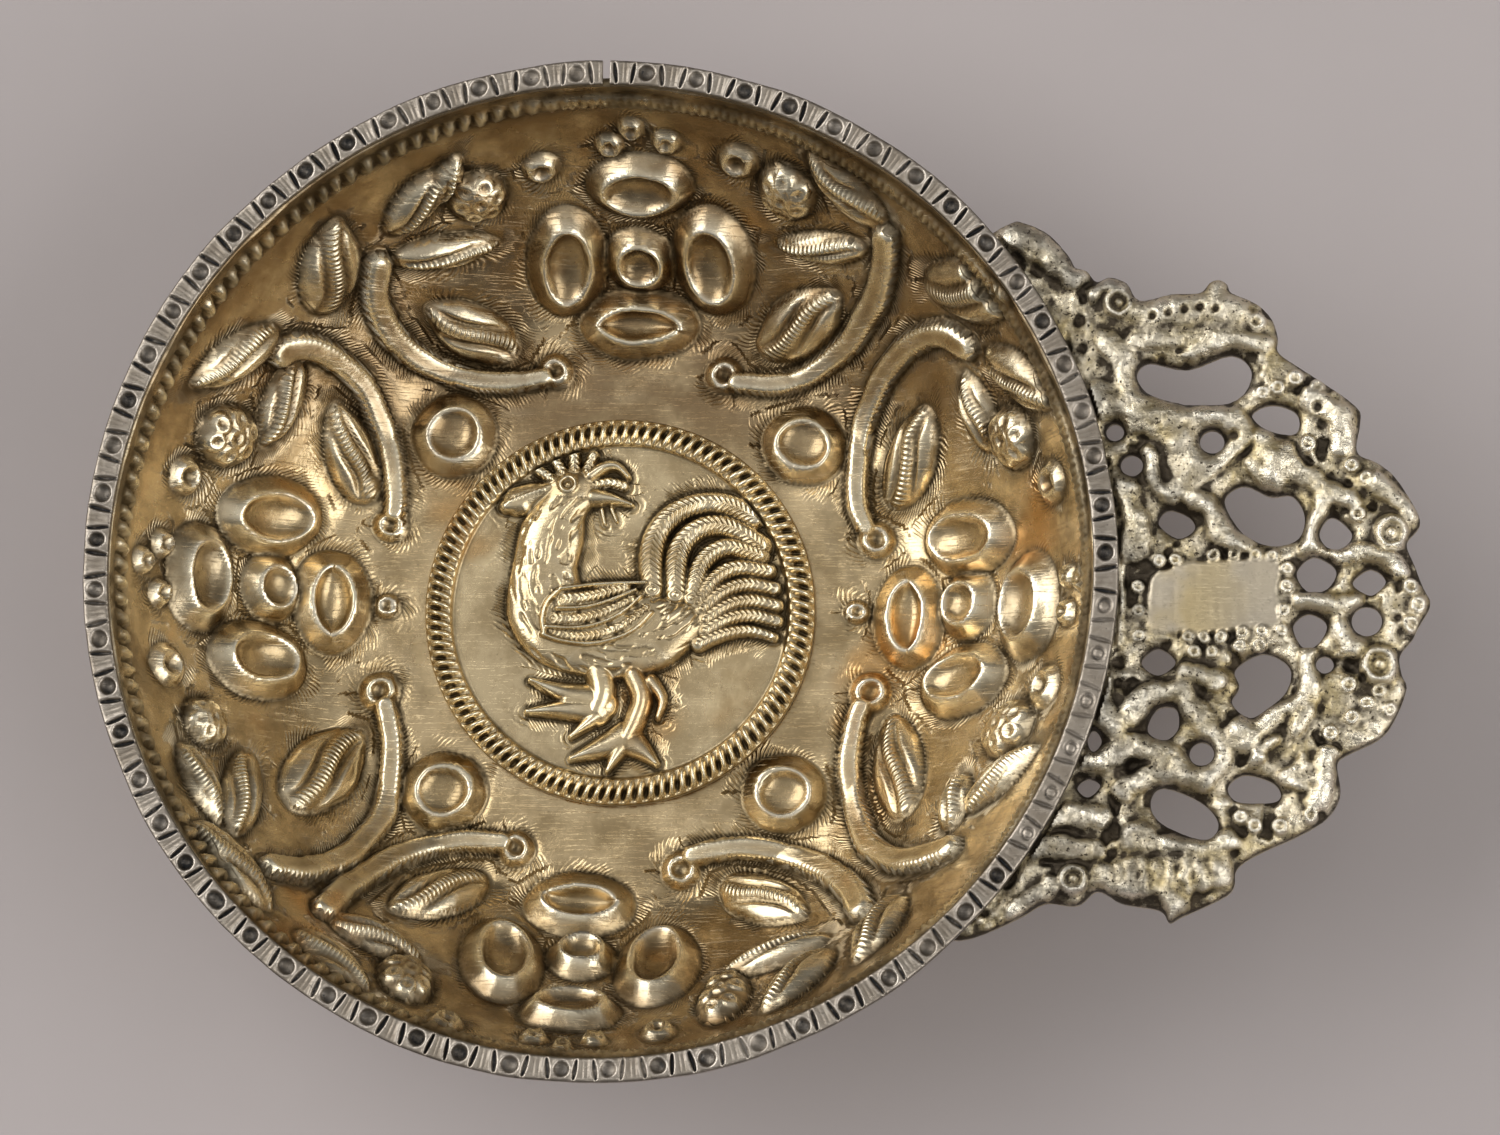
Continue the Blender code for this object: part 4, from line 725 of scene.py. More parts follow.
def link_object(name, data):
    """A new object in the scene."""
    made = bpy.data.objects.new(name, data)
    bpy.context.scene.collection.objects.link(made)
    return made


def place_piece(name, mesh, node):
    """The finished piece, riding on the cup in place of its plain solid."""
    piece = link_object(name, mesh)
    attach(piece, "root")
    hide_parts(node)
    return piece


def ring_quads(rows, steps, first=0, flip=False):
    """Quads between rows of points that close round on themselves."""
    faces = []
    for i in range(rows - 1):
        a = first + i * steps
        b = a + steps
        for k in range(steps):
            n = (k + 1) % steps
            quad = (a + k, b + k, b + n, a + n)
            faces.append(quad[::-1] if flip else quad)
    return faces


def make_bowl():
    """Fine inner face with the chased work, and a plainer outer face that follows it."""
    points, arc, inward = bowl_face()
    fine = 720
    coarse = 180
    # Few rows under the roundel, and most of them over the flowers
    inner_arcs = np.concatenate([
        [3.0, 10.0],
        np.linspace(17.4, 22.0, 12, endpoint=False),
        np.linspace(22.0, 46.0, 85, endpoint=False),
        np.linspace(46.0, 52.0, 14, endpoint=False),
        np.linspace(52.0, arc[-1], 13),
    ])
    outer_arcs = np.concatenate([[6.0, 12.0], np.linspace(17.4, arc[-1], 44)])

    def lay(arcs, steps, offset, share):
        """Points in rows over the sheet, set back from its inner face, and the work on them."""
        angle = np.tile(np.arange(steps) * math.tau / steps, len(arcs))
        at = np.repeat(arcs, steps)
        work = chase_bowl(at, angle)
        rise = share * work.height - offset
        radius, z = [
            np.interp(at, arc, points[:, k]) + rise * np.interp(at, arc, inward[:, k]) for k in (0, 1)
        ]
        return np.column_stack([radius * np.cos(angle), radius * np.sin(angle), np.maximum(z, 0.0)]), work

    inner, work = lay(inner_arcs, fine, 0.0, 1.0)
    outer, back = lay(outer_arcs, coarse, SHEET, BACK_SHARE)
    split = len(inner)
    everything = np.vstack([inner, outer, [[0.0, 0.0, SHEET], [0.0, 0.0, 0.0]]])
    top = len(everything) - 2
    bottom = len(everything) - 1
    faces = ring_quads(len(inner_arcs), fine)
    faces += ring_quads(len(outer_arcs), coarse, split, flip=True)
    faces += [(top, k, (k + 1) % fine) for k in range(fine)]
    faces += [(bottom, split + (k + 1) % coarse, split + k) for k in range(coarse)]
    inner_lip = split - fine
    outer_lip = split + (len(outer_arcs) - 1) * coarse
    ratio = fine // coarse
    for k in range(coarse):
        over = [inner_lip + (k * ratio + j) % fine for j in range(ratio + 1)]
        faces.append((outer_lip + k, outer_lip + (k + 1) % coarse, *over[::-1]))
    mesh = make_mesh("bowl_sheet", everything, faces)
    height = np.concatenate([work.height, -0.4 * back.height, [0.0, 0.0]])
    give_hollows(mesh, height, rounds=14, depth=0.32)
    give_tool_marks(mesh, work)
    return place_piece("bowl_sheet", mesh, "bowl")


def disc_grid(count):
    """A square grid drawn out to a unit disc, with its quads and its edge."""
    line = np.linspace(-1.0, 1.0, count + 1)
    u, v = np.meshgrid(line, line)
    wide = np.abs(u) > np.abs(v)
    radius = np.where(wide, u, v)
    safe = np.where(radius == 0.0, 1.0, radius)
    turn = np.where(wide, math.pi / 4 * v / safe, math.pi / 2 - math.pi / 4 * u / safe)
    points = np.column_stack([(radius * np.cos(turn)).ravel(), (radius * np.sin(turn)).ravel()])
    index = np.arange((count + 1) ** 2).reshape(count + 1, count + 1)
    corners = [index[:-1, :-1], index[:-1, 1:], index[1:, 1:], index[1:, :-1]]
    quads = np.stack(corners, axis=-1).reshape(-1, 4)
    edge = np.concatenate([index[0, :-1], index[:-1, -1], index[-1, :0:-1], index[:0:-1, 0]])
    return points, quads.tolist(), edge.tolist()


def chase_roundel(x, y):
    """The cockerel in its rope border."""
    work = ChasedWork(x, y)
    everywhere = np.arange(len(x))
    depth = inside_depth(x, y, closed_curve(COCKEREL_BODY))
    work.lift(everywhere, BODY_HEIGHT * quarter_round(depth, BODY_SHOULDER) * (depth > 0.0))
    work.outline(everywhere, -depth, x + y)
    px, py = PLUMAGE_PIVOT
    sweep = 7.0 * np.arctan2(y - py, x - px)
    strokes = smooth((uneven(np.hypot(x - px, y - py), 0.3 * sweep, 0.42, 5, 2) - 0.08) / 0.3)
    work.height -= 0.16 * strokes * smooth(depth / 0.5) * (y < 10.4)
    for points, half_width, height, hatching, tip in COCKEREL_PARTS:
        ribs, swell = (2.2, 3.0) if hatching else (0.0, 1.8)
        work.ridge(
            points, half_width, height, ribs, depth=0.06, ends=(1.0, tip), swell=swell,
            full_hatch=hatching, slant=0.8,
        )
    ex, ey, er = COCKEREL_EYE
    gap = np.hypot(x - ex, y - ey) / er
    work.height += 0.28 * bell(gap, 0.85, 0.28) - 0.25 * bell(gap, 0.45, 0.2)
    work.press_ground(depth=0.06, width=0.7, line_depth=0.07)
    work.height += 0.06 * uneven(x, y, 7.0, 31, 2)
    radius = np.hypot(x, y)
    angle = np.arctan2(y, x)
    from_rope = radius - ROPE_RADIUS
    turn = angle * ROPE_STROKES + 8.0 * np.sin(angle + 2.9) + 0.5 * uneven(x, y, 2.0, 33, 1)
    twist = np.cos(turn + 1.8 * from_rope)
    pits = bell(from_rope, 0.4, 0.42) * np.clip(-twist, 0.0, 1.0)
    outer_edge = 0.42 * smooth((from_rope - 0.8 * ROPE_HALF_WIDTH) / 0.3)
    rope = domed(from_rope / ROPE_HALF_WIDTH) * (0.66 + 0.26 * twist)
    border = np.maximum(rope, outer_edge) - 0.55 * pits
    bevel = 0.4 * smooth((radius - FIELD_RADIUS) / 0.4) * smooth(-from_rope / 0.6)
    on_border = radius > FIELD_RADIUS
    work.height = np.where(on_border, np.maximum(border, bevel), work.height)
    work.edge[on_border] = FAR
    work.hatched[on_border] = 0.0
    work.height *= smooth((ROUNDEL_RADIUS - radius) / 0.25)
    return work


def make_roundel():
    """The chased disc, with a plain edge and underside."""
    flat, faces, edge = disc_grid(ROUNDEL_GRID)
    flat = flat * ROUNDEL_RADIUS
    work = chase_roundel(flat[:, 0], flat[:, 1])
    face = np.column_stack([flat, ROUNDEL_BASE + ROUNDEL_THICKNESS + work.height])
    foot = np.column_stack([flat[edge], np.full(len(edge), ROUNDEL_BASE)])
    everything = np.vstack([face, foot, [[0.0, 0.0, ROUNDEL_BASE]]])
    first = len(face)
    last = len(everything) - 1
    for k in range(len(edge)):
        n = (k + 1) % len(edge)
        faces.append((edge[k], first + k, first + n, edge[n]))
        faces.append((last, first + n, first + k))
    mesh = make_mesh("cockerel_roundel", everything, faces)
    height = np.concatenate([work.height, np.zeros(len(edge) + 1)])
    give_hollows(mesh, height, rounds=40, depth=0.3)
    give_tool_marks(mesh, work)
    return place_piece("cockerel_roundel", mesh, "roundel")


def stamp_strip(along, across, angle):
    """Dents, bars and fine lines struck across the strip, faint on the stretch beside the handle."""
    level = np.zeros_like(along)
    pitch = math.tau * RIM_RADIUS / STAMP_COUNT
    shift = 0.3 * uneven(along / 3.0, level, 1.0, 41, 1)
    place = np.abs(((along + shift) / pitch) % 1.0 - 0.5) * pitch
    off = np.hypot(place, across + 0.15 * uneven(along, level, 9.0, 42, 1))
    force = 0.75 + 0.4 * uneven(along, level, 5.0, 43, 1)
    dent = DENT_DEPTH * force * domed(off / DENT_RADIUS)
    burr = 0.05 * bell(off, DENT_RADIUS + 0.12, 0.12)
    waist = domed(across / 1.02, 1.0)
    half_bar = 0.08 + 0.11 * waist
    from_bar = place - BAR_PLACE + 0.14 * across
    bars = BAR_DEPTH * force * smooth(3.0 * waist) * np.exp(-((from_bar / half_bar) ** 4))
    ridges = 0.04 * bell(np.abs(from_bar) - half_bar, 0.12, 0.1)
    lines = 0.5 + 0.5 * np.cos(math.tau * place / LINE_PITCH)
    lines = LINE_DEPTH * waist * lines * smooth((place - 1.65) / 0.15)
    inside = smooth((angle - PLAIN_STRETCH[0]) / 0.08) * smooth((PLAIN_STRETCH[1] - angle) / 0.08)
    faint = 0.16 * bell(off, 0.5, 0.14) + 0.5 * bars
    struck = (1.0 - inside) * (burr + ridges - dent - bars - lines) - inside * faint
    return struck + 0.04 * uneven(along, across * 2.0, 2.0, 44)


def make_strip():
    """The stamped strip bent round the lip, open at its seam."""
    steps = 2800
    columns = 19
    seam = STRIP_SEAM / RIM_RADIUS
    turns = math.pi / 2 + np.linspace(seam / 2, math.tau - seam / 2, steps)
    middle = 0.5 * (RIM_RADIUS + LIP_RADIUS)
    half = 0.5 * (RIM_RADIUS - LIP_RADIUS)
    wave = 0.16 * uneven(np.cos(turns) * RIM_RADIUS, np.sin(turns) * RIM_RADIUS, 7.0, 51)
    angle = np.repeat(turns, columns)
    side = np.tile(np.linspace(1.0, -1.0, columns), steps)
    signed = (angle + math.pi) % math.tau - math.pi
    round_off = 0.16 * np.clip((np.abs(side) - 0.8) / 0.2, 0.0, 1.0) ** 2
    height = stamp_strip((angle - turns[0]) * middle, side * half, signed) - round_off
    top = STRIP_Z + STRIP_THICKNESS - 0.1 + height
    radius = middle + side * half + np.repeat(wave, columns) * smooth(side)
    low = STRIP_Z + 0.35
    wall = [(-1.0, low), (-1.0, STRIP_Z), (1.0, STRIP_Z), (1.0, low)]
    section = columns + len(wall)
    grid = np.zeros((steps, section, 3))
    face = np.stack([radius * np.cos(angle), radius * np.sin(angle), top], axis=-1)
    grid[:, :columns] = face.reshape(steps, columns, 3)
    for j, (s, z) in enumerate(wall):
        r = middle + s * half + (wave if s > 0.0 else 0.0)
        grid[:, columns + j] = np.column_stack([r * np.cos(turns), r * np.sin(turns), np.full(steps, z)])
    faces = ring_quads(steps, section)
    faces.append(tuple(range(section)))
    faces.append(tuple(range((steps - 1) * section, steps * section))[::-1])
    mesh = make_mesh("lip_strip", grid.reshape(-1, 3), faces)
    heights = np.zeros((steps, section))
    heights[:, :columns] = height.reshape(steps, columns)
    give_hollows(mesh, heights.ravel(), rounds=24, depth=0.22)
    return place_piece("lip_strip", mesh, "rim_strip")


def wall_radius(z):
    """Radius at a height of the bowl's outer face, with the seat's clearance."""
    points, _, inward = bowl_face()
    moved = points - (SHEET + SEAT) * inward
    return float(np.interp(z, moved[FLOOR_POINTS:, 1], moved[FLOOR_POINTS:, 0]))


def settled(source):
    """The evaluated mesh of an object, with the object itself removed."""
    bpy.context.view_layer.update()
    evaluated = source.evaluated_get(bpy.context.evaluated_depsgraph_get())
    mesh = bpy.data.meshes.new_from_object(evaluated)
    mesh.transform(source.matrix_world)
    bpy.data.objects.remove(source, do_unlink=True)
    return mesh


def welded_object(name, mesh):
    """An object of the mesh, its doubled points joined and its faces turned outward."""
    bm = bmesh.new()
    bm.from_mesh(mesh)
    bmesh.ops.remove_doubles(bm, verts=bm.verts, dist=1e-6)
    bmesh.ops.recalc_face_normals(bm, faces=bm.faces)
    bm.to_mesh(mesh)
    bm.free()
    return link_object(name, mesh)


def handle_outlines():
    """The plate's edge and its openings as smooth closed outlines."""
    openings = list(PIERCINGS)
    turns = [math.tau * k / 8 for k in range(8)]
    for x, y, radius in ROUND_PIERCINGS:
        openings.append([(x + radius * math.cos(t), y + radius * math.sin(t)) for t in turns])
    return [closed_curve(points) for points in [OUTLINE] + openings]


def plate_object(outlines):
    """The flat plate with its openings."""
    curve = bpy.data.curves.new("handle_plate", "CURVE")
    curve.dimensions = "2D"
    curve.fill_mode = "BOTH"
    curve.extrude = HANDLE_THICKNESS / 2 * MM
    for points in outlines:
        spline = curve.splines.new("POLY")
        spline.points.add(len(points) - 1)
        spline.use_cyclic_u = True
        for knot, (x, y) in zip(spline.points, points):
            knot.co = ((x + RIM_RADIUS) * MM, y * MM, 0.0, 1.0)
    plate = link_object("handle_plate", curve)
    plate.location.z = (HANDLE_TOP - HANDLE_THICKNESS / 2) * MM
    return welded_object("handle_plate", settled(plate))


def spun_object(name, section, start, sweep, steps):
    """A closed section of (r, z) points swept about the cup's axis, joined up after a whole turn."""
    bm = bmesh.new()
    corners = [bm.verts.new((r * MM, 0.0, z * MM)) for r, z in section]
    face = bm.faces.new(corners)
    bmesh.ops.rotate(bm, verts=bm.verts, cent=(0, 0, 0), matrix=Matrix.Rotation(start, 3, "Z"))
    bmesh.ops.spin(
        bm, geom=[face] + face.edges[:] + corners, cent=(0, 0, 0), axis=(0, 0, 1), angle=sweep, steps=steps
    )
    if sweep == math.tau:
        caps = [f for f in bm.faces if len(f.verts) == len(section)]
        bmesh.ops.delete(bm, geom=caps, context="FACES_ONLY")
    mesh = bpy.data.meshes.new(name)
    bm.to_mesh(mesh)
    bm.free()
    return welded_object(name, mesh)


def heel_object():
    """Flange below the plate's inner edge that hugs the wall, between the plate's two ends."""
    plate_low = HANDLE_TOP - HANDLE_THICKNESS
    levels = np.linspace(HANDLE_TOP - 0.5 * HANDLE_THICKNESS, plate_low - HEEL_DEPTH, 5)
    inner = [(wall_radius(z), z) for z in levels]
    outer = [(r + t * HEEL_THICKNESS, z) for (r, z), t in zip(inner, np.linspace(1.0, 0.6, 5))]
    low, high = [math.atan2(y, x + RIM_RADIUS) for x, y in (OUTLINE[-3], OUTLINE[2])]
    start = low + HEEL_THICKNESS / RIM_RADIUS
    end = high - HEEL_THICKNESS / RIM_RADIUS
    section = [(r - 0.5, z) for r, z in inner] + outer[::-1]
    return spun_object("handle_heel", section, start, end - start, 40)


def wall_cutter():
    """The room that the bowl and the strip take, grown by the seat's clearance."""
    levels = np.linspace(HANDLE_TOP + 0.06, HANDLE_TOP - 10.0, 12)
    wall = [(wall_radius(min(z, LIP_Z)), z) for z in levels]
    inner = 20.0
    edge = RIM_RADIUS + SEAT
    above = HANDLE_TOP + 4.0
    section = [(inner, above), (edge, above), (edge, levels[0])] + wall + [(inner, levels[-1])]
    return spun_object("wall_room", section, 0.0, math.tau, 128)


def cast_bodies(x, y):
    """Heights of the cast beasts, scrolls and fans over the plate."""
    work = ChasedWork(x + 0.55 * uneven(x, y, 2.2, 61), y + 0.55 * uneven(x, y, 2.2, 67))
    for points, half_width, height, *ribs in CAST_RIDGES:
        work.ridge(points, 1.35 * half_width, 1.2 * height, *ribs, depth=0.2)
    for root, *ends in FANS:
        for end in ends:
            work.ridge([root, end], 0.45, 0.75)
    return work.height


def cast_punches(x, y):
    """Heights of the ringed beads, the beads round the tablet and the beasts' eyes."""
    work = ChasedWork(x + 0.15 * uneven(x, y, 1.5, 63), y + 0.15 * uneven(x, y, 1.5, 69))
    for cx, cy, radius in RINGED_BEADS:
        work.boss(cx, cy, radius, radius, BEAD_HEIGHT, ring=0.6, hollow=0.75)
    for cx, cy in TABLET_BEADS:
        work.boss(cx, cy, TABLET_BEAD_RADIUS, TABLET_BEAD_RADIUS, 0.55, ring=0.55, hollow=0.65)
    for cx, cy, radius in EYES:
        work.boss(cx, cy, radius, radius, EYE_HEIGHT, ring=0.7, hollow=0.7)
        work.height += 0.55 * domed(np.hypot(x - cx, y - cy) / radius / 0.34, 1.0)
    return work.height


def cast_handle(x, y, bodies, outlines):
    """The relief drowned in the casting's rough skin and rolled over its edges, and the bare tablet."""
    depth = inside_depth(x, y, outlines[0])
    for opening in outlines[1:]:
        depth = np.minimum(depth, -inside_depth(x, y, opening))
    roll = quarter_round(depth, EDGE_ROLL)
    plain = smooth((inside_depth(x, y, closed_curve(TABLET)) + 0.3) / 0.6)
    lumps = uneven(x, y, 1.8, 71, 2)
    pocks = uneven(x, y, 0.75, 77, 2)
    punches = cast_punches(x, y)
    low = smooth(1.0 - np.maximum(bodies, 1.6 * punches) / 0.5)
    sunk = smooth((uneven(x, y, 1.5, 83, 2) - 0.1) / 0.4) * low
    skin = 0.3 * lumps + 0.17 * pocks - 0.14 * smooth((pocks - 0.25) / 0.35) - 0.5 * sunk
    skin *= 1.0 - 0.6 * smooth(punches / 0.3)
    height = np.maximum(bodies - 0.12 * low, punches)
    for cx, cy, radius in HANDLE_PITS:
        height -= 0.5 * domed(np.hypot(x - cx, y - cy) / radius, 1.0)
    flat = TABLET_HEIGHT + 0.05 * uneven(x, y, 5.0, 79, 1) + 0.025 * uneven(6.0 * x, y, 3.0, 89, 2)
    height = (height + skin) * (1.0 - plain) + np.maximum(flat, punches) * plain
    return height * (0.4 + 0.6 * roll) - 1.0 * (1.0 - roll), plain


def make_handle():
    """The cast plate and its heel, cut to the wall, with the relief raised on the plate's top."""
    outlines = handle_outlines()
    plate = plate_object(outlines)
    helpers = {"UNION": heel_object(), "DIFFERENCE": wall_cutter()}
    for operation, helper in helpers.items():
        boolean = plate.modifiers.new(operation.lower(), "BOOLEAN")
        boolean.operation = operation
        boolean.object = helper
        boolean.solver = "EXACT"
    remesh = plate.modifiers.new("casting", "REMESH")
    remesh.mode = "VOXEL"
    remesh.voxel_size = CASTING_GRAIN * MM
    even = plate.modifiers.new("even", "SMOOTH")
    even.factor = 0.5
    even.iterations = 3
    mesh = settled(plate)
    for helper in helpers.values():
        bpy.data.objects.remove(helper, do_unlink=True)
    mesh.name = "cast_handle"
    flat = np.empty(len(mesh.vertices) * 3)
    mesh.vertices.foreach_get("co", flat)
    points = flat.reshape(-1, 3) / MM
    x = points[:, 0] - RIM_RADIUS
    y = points[:, 1]
    bodies = spread(mesh, cast_bodies(x, y), rounds=7)
    relief, plain = cast_handle(x, y, bodies, outlines)
    share = np.clip((points[:, 2] - HANDLE_TOP + HANDLE_THICKNESS) / HANDLE_THICKNESS, 0.0, 1.0)
    under_strip = np.hypot(points[:, 0], y) < RIM_RADIUS + SEAT
    relief = np.where(under_strip, np.minimum(relief, 0.0), relief)
    points[:, 2] += share * relief
    mesh.vertices.foreach_set("co", (points * MM).ravel())
    mesh.update()
    mesh.shade_smooth()
    give_hollows(mesh, share * relief, rounds=45, depth=0.4)
    give_values(mesh, "plain", plain * share)
    return place_piece("cast_handle", mesh, "handle")


def add_node(tree, kind, **settings):
    """A new node, set out in rows of seven."""
    made = tree.nodes.new(kind)
    place = len(tree.nodes)
    made.location = (240 * (place % 7), -220 * (place // 7))
    for name, value in settings.items():
        setattr(made, name, value)
    return made


class Signal:
    """A varying value in a node tree, whose arithmetic reads as plain formulas."""

    def __init__(self, tree, socket):
        self.tree = tree
        self.socket = socket

    def worked(self, operation, *others):
        """The result of a math node on this value and the others."""
        made = add_node(self.tree, "ShaderNodeMath", operation=operation)
        for value, socket in zip((self, *others), made.inputs):
            feed(value, socket)
        return Signal(self.tree, made.outputs[0])

    def __add__(self, other):
        return self.worked("ADD", other)

    def __sub__(self, other):
        return self.worked("SUBTRACT", other)

    def __mul__(self, other):
        return self.worked("MULTIPLY", other)

    def __truediv__(self, other):
        return self.worked("DIVIDE", other)

    def between(self, low, high, to_low=0.0, to_high=1.0):
        """This value drawn smoothly from one range to another."""
        made = add_node(self.tree, "ShaderNodeMapRange", interpolation_type="SMOOTHSTEP")
        for value, socket in zip((self, low, high, to_low, to_high), made.inputs):
            feed(value, socket)
        return Signal(self.tree, made.outputs["Result"])


def feed(value, socket):
    """Link a signal to a socket, or set the socket's number or colour."""
    if isinstance(value, Signal):
        value.tree.links.new(value.socket, socket)
    elif isinstance(value, tuple):
        socket.default_value = (*value, 1.0)
    else:
        socket.default_value = value


def mix_colour(tree, factor, first, second):
    """The first colour, turning to the second as the factor goes from 0 to 1."""
    made = add_node(tree, "ShaderNodeMix", data_type="RGBA")
    feed(factor, made.inputs["Factor"])
    feed(first, made.inputs["A"])
    feed(second, made.inputs["B"])
    return Signal(tree, made.outputs["Result"])


def stored(tree, name):
    """A number that was given to the mesh's points."""
    return Signal(tree, add_node(tree, "ShaderNodeAttribute", attribute_name=name).outputs["Fac"])


def object_noise(tree, scale, detail, roughness, turn=0.0, stretch=1.0):
    """Noise fixed to the piece, in cells to a metre, turned about Z and drawn out where told."""
    place = add_node(tree, "ShaderNodeTexCoord").outputs["Object"]
    if stretch != 1.0:
        mapping = add_node(tree, "ShaderNodeMapping")
        tree.links.new(place, mapping.inputs["Vector"])
        mapping.inputs["Rotation"].default_value = (0.0, 0.0, turn)
        mapping.inputs["Scale"].default_value = (1.0, stretch, 1.0)
        place = mapping.outputs["Vector"]
    noise = add_node(tree, "ShaderNodeTexNoise")
    tree.links.new(place, noise.inputs["Vector"])
    for name, value in (("Scale", scale), ("Detail", detail), ("Roughness", roughness)):
        feed(value, noise.inputs[name])
    return Signal(tree, noise.outputs["Fac"])


def piece_share(tree, axis, low, high):
    """From 0 to 1 between two places along an axis of the piece, in millimetres."""
    split = add_node(tree, "ShaderNodeSeparateXYZ")
    tree.links.new(add_node(tree, "ShaderNodeTexCoord").outputs["Object"], split.inputs[0])
    return Signal(tree, split.outputs[axis]).between(low * MM, high * MM)


def new_group(name, inputs, outputs):
    """An empty shader node group of numbers: its tree, its input signals and its output sockets."""
    tree = bpy.data.node_groups.new(name, "ShaderNodeTree")
    for label, value in inputs.items():
        socket = tree.interface.new_socket(name=label, in_out="INPUT", socket_type="NodeSocketFloat")
        socket.default_value = value
    for label in outputs:
        tree.interface.new_socket(name=label, in_out="OUTPUT", socket_type="NodeSocketFloat")
    sockets = add_node(tree, "NodeGroupInput").outputs
    given = {label: Signal(tree, sockets[label]) for label in inputs}
    return tree, given, add_node(tree, "NodeGroupOutput").inputs


def place_group(tree, group, **values):
    """The output signals of a group whose inputs are set."""
    made = add_node(tree, "ShaderNodeGroup", node_tree=group)
    for name, value in values.items():
        made.inputs[name.replace("_", " ")].default_value = value
    return {socket.name: Signal(tree, socket) for socket in made.outputs}


def tarnish_and_shade_group():
    """Darkening in the hollows, partly soiling and partly painted shade, and cloudy patches and specks over
    the whole face.
    """
    tree, given, result = new_group(
        "tarnish_and_shade",
        {"Depth": 1.0, "Patch Scale": 90.0, "Speck Level": 0.66},
        ("Dirt And Shade", "Patches", "Specks"),
    )
    grain = object_noise(tree, 1400.0, 5.0, 0.7).between(0.25, 0.65, 0.55, 1.25)
    # Darkening by depth below the surroundings: soiling and painted shade together
    dirt_and_shade = stored(tree, "hollow") * given["Depth"] * grain
    feed(dirt_and_shade.worked("MINIMUM", 1.0), result["Dirt And Shade"])
    cloud = object_noise(tree, given["Patch Scale"], 6.0, 0.62)
    feed(cloud.between(0.36, 0.66), result["Patches"])
    specks = object_noise(tree, 2600.0, 3.0, 0.6) - given["Speck Level"]
    feed(specks.between(0.0, 0.1), result["Specks"])
    return tree


def rubbed_group():
    """Polish on the crests, where handling keeps the metal bright, and fine scratches from cleaning."""
    tree, given, result = new_group(
        "rubbed_metal", {"Scratch Scale": 260.0}, ("Crest", "Scratches", "Dull")
    )
    smear = object_noise(tree, 500.0, 4.0, 0.6).between(0.3, 0.6, 0.6, 1.0)
    feed(stored(tree, "crest") * smear, result["Crest"])
    one_way = object_noise(tree, given["Scratch Scale"], 3.0, 0.6, turn=0.6, stretch=26.0)
    other_way = object_noise(tree, given["Scratch Scale"], 3.0, 0.6, turn=-0.9, stretch=22.0)
    feed(one_way.between(0.58, 0.7) + other_way.between(0.6, 0.72), result["Scratches"])
    feed(object_noise(tree, 130.0, 5.0, 0.6), result["Dull"])
    return tree


def chasing_group():
    """Marks of the chaser's punches: hatched veins, lashes round the motifs and pearls on the berries."""
    tree, given, result = new_group("chaser_strokes", {"Lash Pitch": 0.34}, ("Height", "Cut", "Rim"))
    hatch = stored(tree, "hatch") * math.tau
    ribs = hatch.worked("SINE") * stored(tree, "hatched")
    edge = stored(tree, "edge")
    slanted = stored(tree, "around") + edge * 0.6
    turn = slanted / given["Lash Pitch"] + object_noise(tree, 420.0, 2.0, 0.5) * 3.0
    wave = (turn * math.tau).worked("SINE")
    reach = edge + object_noise(tree, 900.0, 2.0, 0.5) * 2.4
    band = edge.between(0.0, 0.3) * reach.between(3.0, 1.6)
    here = object_noise(tree, 260.0, 2.0, 0.5).between(0.38, 0.58)
    lashes = wave * band * here
    line = edge.between(-0.02, 0.12) * edge.between(0.42, 0.24)
    pearl = stored(tree, "pearl")
    ring = pearl.between(0.35, 0.75) * pearl.between(1.15, 0.8)
    sunk = pearl.between(1.0, 1.3) * pearl.between(8.0, 6.0) + pearl.between(0.4, 0.15)
    rim = stored(tree, "ring").worked("ABSOLUTE").between(0.45, 0.05)
    height = ribs * 0.9 + lashes * 0.8 - line * 0.25 + (ring - sunk * 0.8) + rim * 0.15
    feed(height, result["Height"])
    # How deep the marks are sunk, used to darken them with soiling and painted shade
    feed((height * -0.6).worked("MAXIMUM", 0.0), result["Cut"])
    # The ring crests, raised in the bump and also painted as a highlight in the material
    feed(rim, result["Rim"])
    return tree


def wall_tone_and_shade(tree, look, patches, body):
    """The bowl's wall in its own colour, with painted shade at the back and the front, and painted shade in a
    band under its lip.
    """
    wall = mix_colour(tree, patches, look["wall"], look["wall_cloud"])
    body = mix_colour(tree, piece_share(tree, "Z", 2.0, 11.0), body, wall)
    # Painted shade on the back and front walls, broken into blotches
    back = piece_share(tree, "Y", 9.0, 20.0) * 0.9
    front = piece_share(tree, "Y", -20.0, -36.0) * 0.6
    blotches = object_noise(tree, 170.0, 5.0, 0.6).between(0.3, 0.6, 0.4, 1.0)
    body = mix_colour(tree, back.worked("MAXIMUM", front) * blotches, body, look["brown"])
    # Painted shade in a patchy band under the lip
    lip_shade = object_noise(tree, 210.0, 5.0, 0.6).between(0.35, 0.65, 0.1, 0.7)
    return body, piece_share(tree, "Z", 18.5, 22.0) * lip_shade


def new_material(name):
    """A material, with its node tree and its shader's inputs."""
    material = bpy.data.materials.new(name)
    material.use_nodes = True
    tree = material.node_tree
    return material, tree, tree.nodes["Principled BSDF"].inputs


